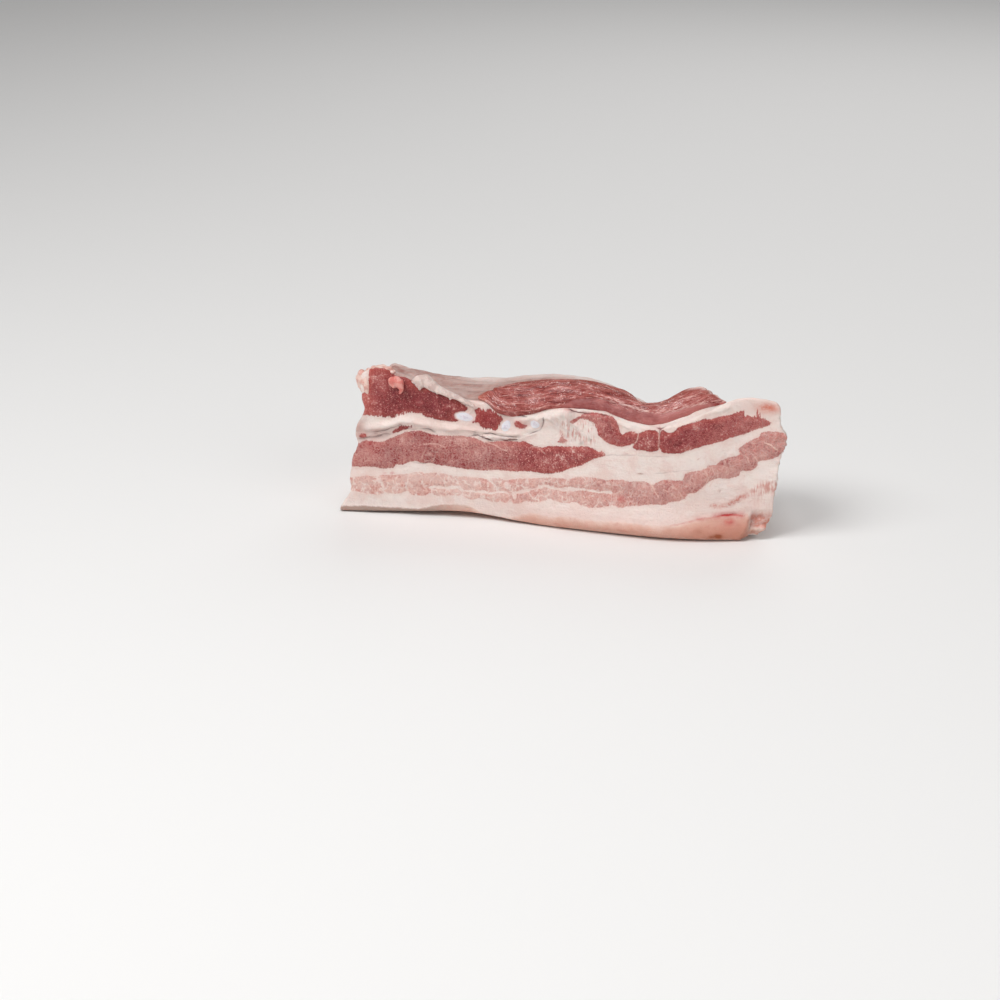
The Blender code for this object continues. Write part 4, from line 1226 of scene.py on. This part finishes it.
# The ragged scraps of the top corners: blobs by centre and half sizes, strands by x, y, z, half width and height
scraps = {
    "cornerFat": {
        "blobs": (
            ((-89.6, -22.0, 62.2), (2.4, 3.0, 3.6)), ((-90.2, -21.6, 64.4), (1.8, 2.6, 2.2)),
            ((-86.4, -22.4, 66.6), (1.6, 2.2, 1.3)), ((-84.2, -22.6, 68.2), (1.8, 2.0, 0.9)),
            ((-81.0, -22.8, 68.9), (2.4, 2.0, 0.8)), ((-78.0, -22.6, 68.2), (2.0, 2.0, 0.9)),
            ((-76.0, -22.4, 66.6), (1.6, 1.8, 1.0)),
        ),
        "strands": (
            ((-86.4, -24.4, 55.6, 0.5, 0.6), (-87.2, -24.2, 58.4, 1.1, 1.3), (-87.6, -23.6, 62.0, 1.5, 1.9),
             (-87.6, -22.6, 64.8, 1.8, 1.5)),
            ((-89.2, -23.4, 57.2, 0.8, 1.0), (-90.4, -22.6, 60.2, 1.5, 1.9), (-91.0, -22.0, 63.0, 1.7, 2.0)),
        ),
        "colours": (tint(231, 201, 190), tint(216, 164, 152)),
        "lumps": 0.40,
    },
    "pinkTuft": {
        "blobs": (
            ((-73.6, -25.6, 63.6), (2.2, 1.5, 2.2)), ((-71.9, -26.0, 62.6), (2.0, 1.6, 2.4)),
            ((-75.6, -25.0, 63.0), (1.6, 1.3, 2.4)), ((-74.6, -25.4, 61.2), (1.2, 1.1, 1.3)),
        ),
        "strands": (
            ((-71.6, -26.2, 62.0, 1.3, 1.4), (-70.8, -26.4, 60.0, 1.0, 1.1), (-71.2, -26.4, 58.6, 0.7, 0.8),
             (-72.0, -26.2, 57.9, 0.4, 0.45)),
        ),
        "colours": (tint(213, 119, 111), tint(226, 158, 147)),
        "lumps": 0.30,
    },
    "fatTuft": {
        "blobs": (
            ((-63.4, -22.8, 62.6), (2.4, 2.0, 3.0)), ((-61.0, -22.2, 64.0), (3.0, 2.2, 2.4)),
        ),
        "strands": (
            ((-66.2, -23.6, 63.2, 0.8, 1.0), (-63.8, -22.8, 63.6, 1.8, 2.4), (-60.0, -22.2, 62.7, 2.4, 2.9),
             (-56.4, -22.4, 60.4, 2.4, 2.0), (-51.6, -22.6, 58.5, 2.3, 1.4), (-46.6, -22.8, 56.8, 2.1, 1.0),
             (-42.4, -23.0, 55.1, 1.7, 0.9), (-39.0, -23.4, 53.6, 1.2, 0.8)),
            ((-63.4, -24.0, 62.0, 1.0, 1.4), (-63.0, -24.6, 60.2, 0.7, 0.9)),
            ((-55.0, -24.0, 60.4, 0.9, 1.0), (-55.2, -24.8, 58.6, 0.5, 0.7)),
            ((-49.6, -23.6, 58.4, 0.8, 1.0), (-49.2, -24.6, 56.4, 0.5, 0.7)),
        ),
        "colours": (tint(224, 204, 196), tint(206, 181, 173)),
        "lumps": 0.14,
    },
    "backCorner": {
        "blobs": (
            ((-85.8, 21.2, 53.6), (3.2, 3.0, 3.0)),
        ),
        "strands": (
            ((-87.4, 20.6, 51.8, 2.0, 2.4), (-84.6, 21.0, 54.2, 2.2, 2.0), (-79.0, 21.6, 53.4, 2.0, 1.4),
             (-72.0, 22.4, 52.4, 1.6, 1.0)),
        ),
        "colours": (tint(194, 156, 148), tint(206, 178, 170)),
        "lumps": 0.35,
    },
}
scrapVoxel = 0.34


def scrapFinish(name, colours):
    scrap = Finish(name + "Finish")
    where = scrap.place()
    patch, fine = scrap.grain(where, 2.6, 2.0), scrap.grain(where, 0.6, 2.0)
    colour = scrap.blend(scrap.step(patch + (fine - 0.5) * 0.4, 0.40, 0.62), *colours)
    roughness = 0.36 + (fine - 0.5) * 0.3
    height = (patch - 0.5) + (fine - 0.5) * 0.6
    return scrap.join(
        {"Base Color": colour, "Roughness": roughness, "Coat Weight": scrap.step(fine, 0.42, 0.66) * 0.4,
         "Normal": scrap.lift(height, 0.18)}, softFlesh)


def beads(strand):
    # blobs set close together along a strand of x, y, z, half width, half height
    table = np.array(strand, float)
    run = np.concatenate(([0], np.cumsum(np.linalg.norm(np.diff(table[:, :3], axis=0), axis=1))))
    stops = np.arange(0, run[-1], 0.45)
    rows = [through(np.column_stack((run, table)), stops, column) for column in range(1, 6)]
    return [((x, y, z), (0.5 * (ry + rz), ry, rz)) for x, y, z, ry, rz in np.array(rows).T]


def makeScrap(name, values, seed):
    bm = bmesh.new()
    blobs = list(values["blobs"]) + [bead for strand in values["strands"] for bead in beads(strand)]
    for centre, halfSizes in blobs:
        place = Matrix.Translation(toFrame(centre)) @ Matrix.Diagonal((*[h * mm for h in halfSizes], 1))
        bmesh.ops.create_icosphere(bm, subdivisions=3, radius=1.0, matrix=place)
    mesh = bpy.data.meshes.new(name)
    bm.to_mesh(mesh)
    bm.free()
    rough = linked(name + "Rough", mesh)
    remesh = rough.modifiers.new("fuse", "REMESH")
    remesh.mode = "VOXEL"
    remesh.voxel_size = scrapVoxel * mm
    soften = rough.modifiers.new("soften", "SMOOTH")
    soften.iterations = 8
    soften.factor = 0.6
    fused = plainMesh(rough, name)
    bpy.data.objects.remove(rough)
    fused.materials.clear()
    fused.materials.append(scrapFinish(name, values["colours"]))
    points, normals = readPoints(fused, "co") / mm + planShift, readPoints(fused, "normal")
    relief = values["lumps"] * (cloud(points, 3.2, seed) + 0.5 * cloud(points, 1.3, seed + 1))
    movePoints(fused, points + normals * relief[:, None])
    fused.shade_smooth()
    print(name + ":", len(fused.polygons) * 2, "triangles")
    return linked(name, fused)


# Table, light and camera
studio = {
    "azimuth": 12.0,
    "elevation": 20.0,
    "distance": 1200.0,
    "target": (-26.73, -25.0, 10.99),
    "lens": 97.2,
    "sensor": 36.0,
    "worldStrength": 0.22,
    "lights": (  # name, place in metres, size in metres, watts
        ("key", (-0.62, -0.80, 1.15), 0.8, 14.0),
        ("fill", (0.95, -0.75, 0.70), 0.9, 3.0),
        ("back", (0.15, 1.05, 0.90), 1.0, 4.0),
        ("top", (0.10, -0.40, 1.30), 0.35, 3.2),
    ),
}


def makeStudio():
    bpy.ops.mesh.primitive_plane_add(size=12)
    table = bpy.context.object
    table.name = "table"
    cover = Finish("paleTable").join({}, {"Base Color": (0.86, 0.85, 0.84, 1), "Roughness": 0.8})
    table.data.materials.append(cover)
    world = bpy.data.worlds.new("studio")
    world.use_nodes = True
    sky = world.node_tree.nodes["Background"].inputs
    sky["Color"].default_value = (1, 1, 1, 1)
    sky["Strength"].default_value = studio["worldStrength"]
    bpy.context.scene.world = world
    for name, place, size, watts in studio["lights"]:
        lamp = bpy.data.lights.new(name, "AREA")
        lamp.size = size
        lamp.energy = watts
        holder = linked(name, lamp)
        holder.location = place
        holder.rotation_euler = (Vector((0, 0, 0.03)) - Vector(place)).to_track_quat("-Z", "Y").to_euler()
    a, e = math.radians(studio["azimuth"]), math.radians(studio["elevation"])
    back = Vector((math.sin(a) * math.cos(e), -math.cos(a) * math.cos(e), math.sin(e)))
    lens = bpy.data.cameras.new("camera")
    lens.lens = studio["lens"]
    lens.sensor_width = studio["sensor"]
    camera = linked("camera", lens)
    camera.location = Vector(toFrame(studio["target"])) + back * studio["distance"] * mm
    camera.rotation_euler = (-back).to_track_quat("-Z", "Y").to_euler()
    bpy.context.scene.camera = camera
    bpy.context.scene.view_settings.view_transform = "Standard"


makeStudio()
print("studio: ready")
pieces = [makeSlab(meatFinish()), makeStrap(strapFinish()), makeThreads(threadFinish())]
for number, (name, values) in enumerate(scraps.items()):
    pieces.append(makeScrap(name, values, 31 + 3 * number))
for piece in pieces:
    fasten(piece)
print("pieces:", len(pieces))
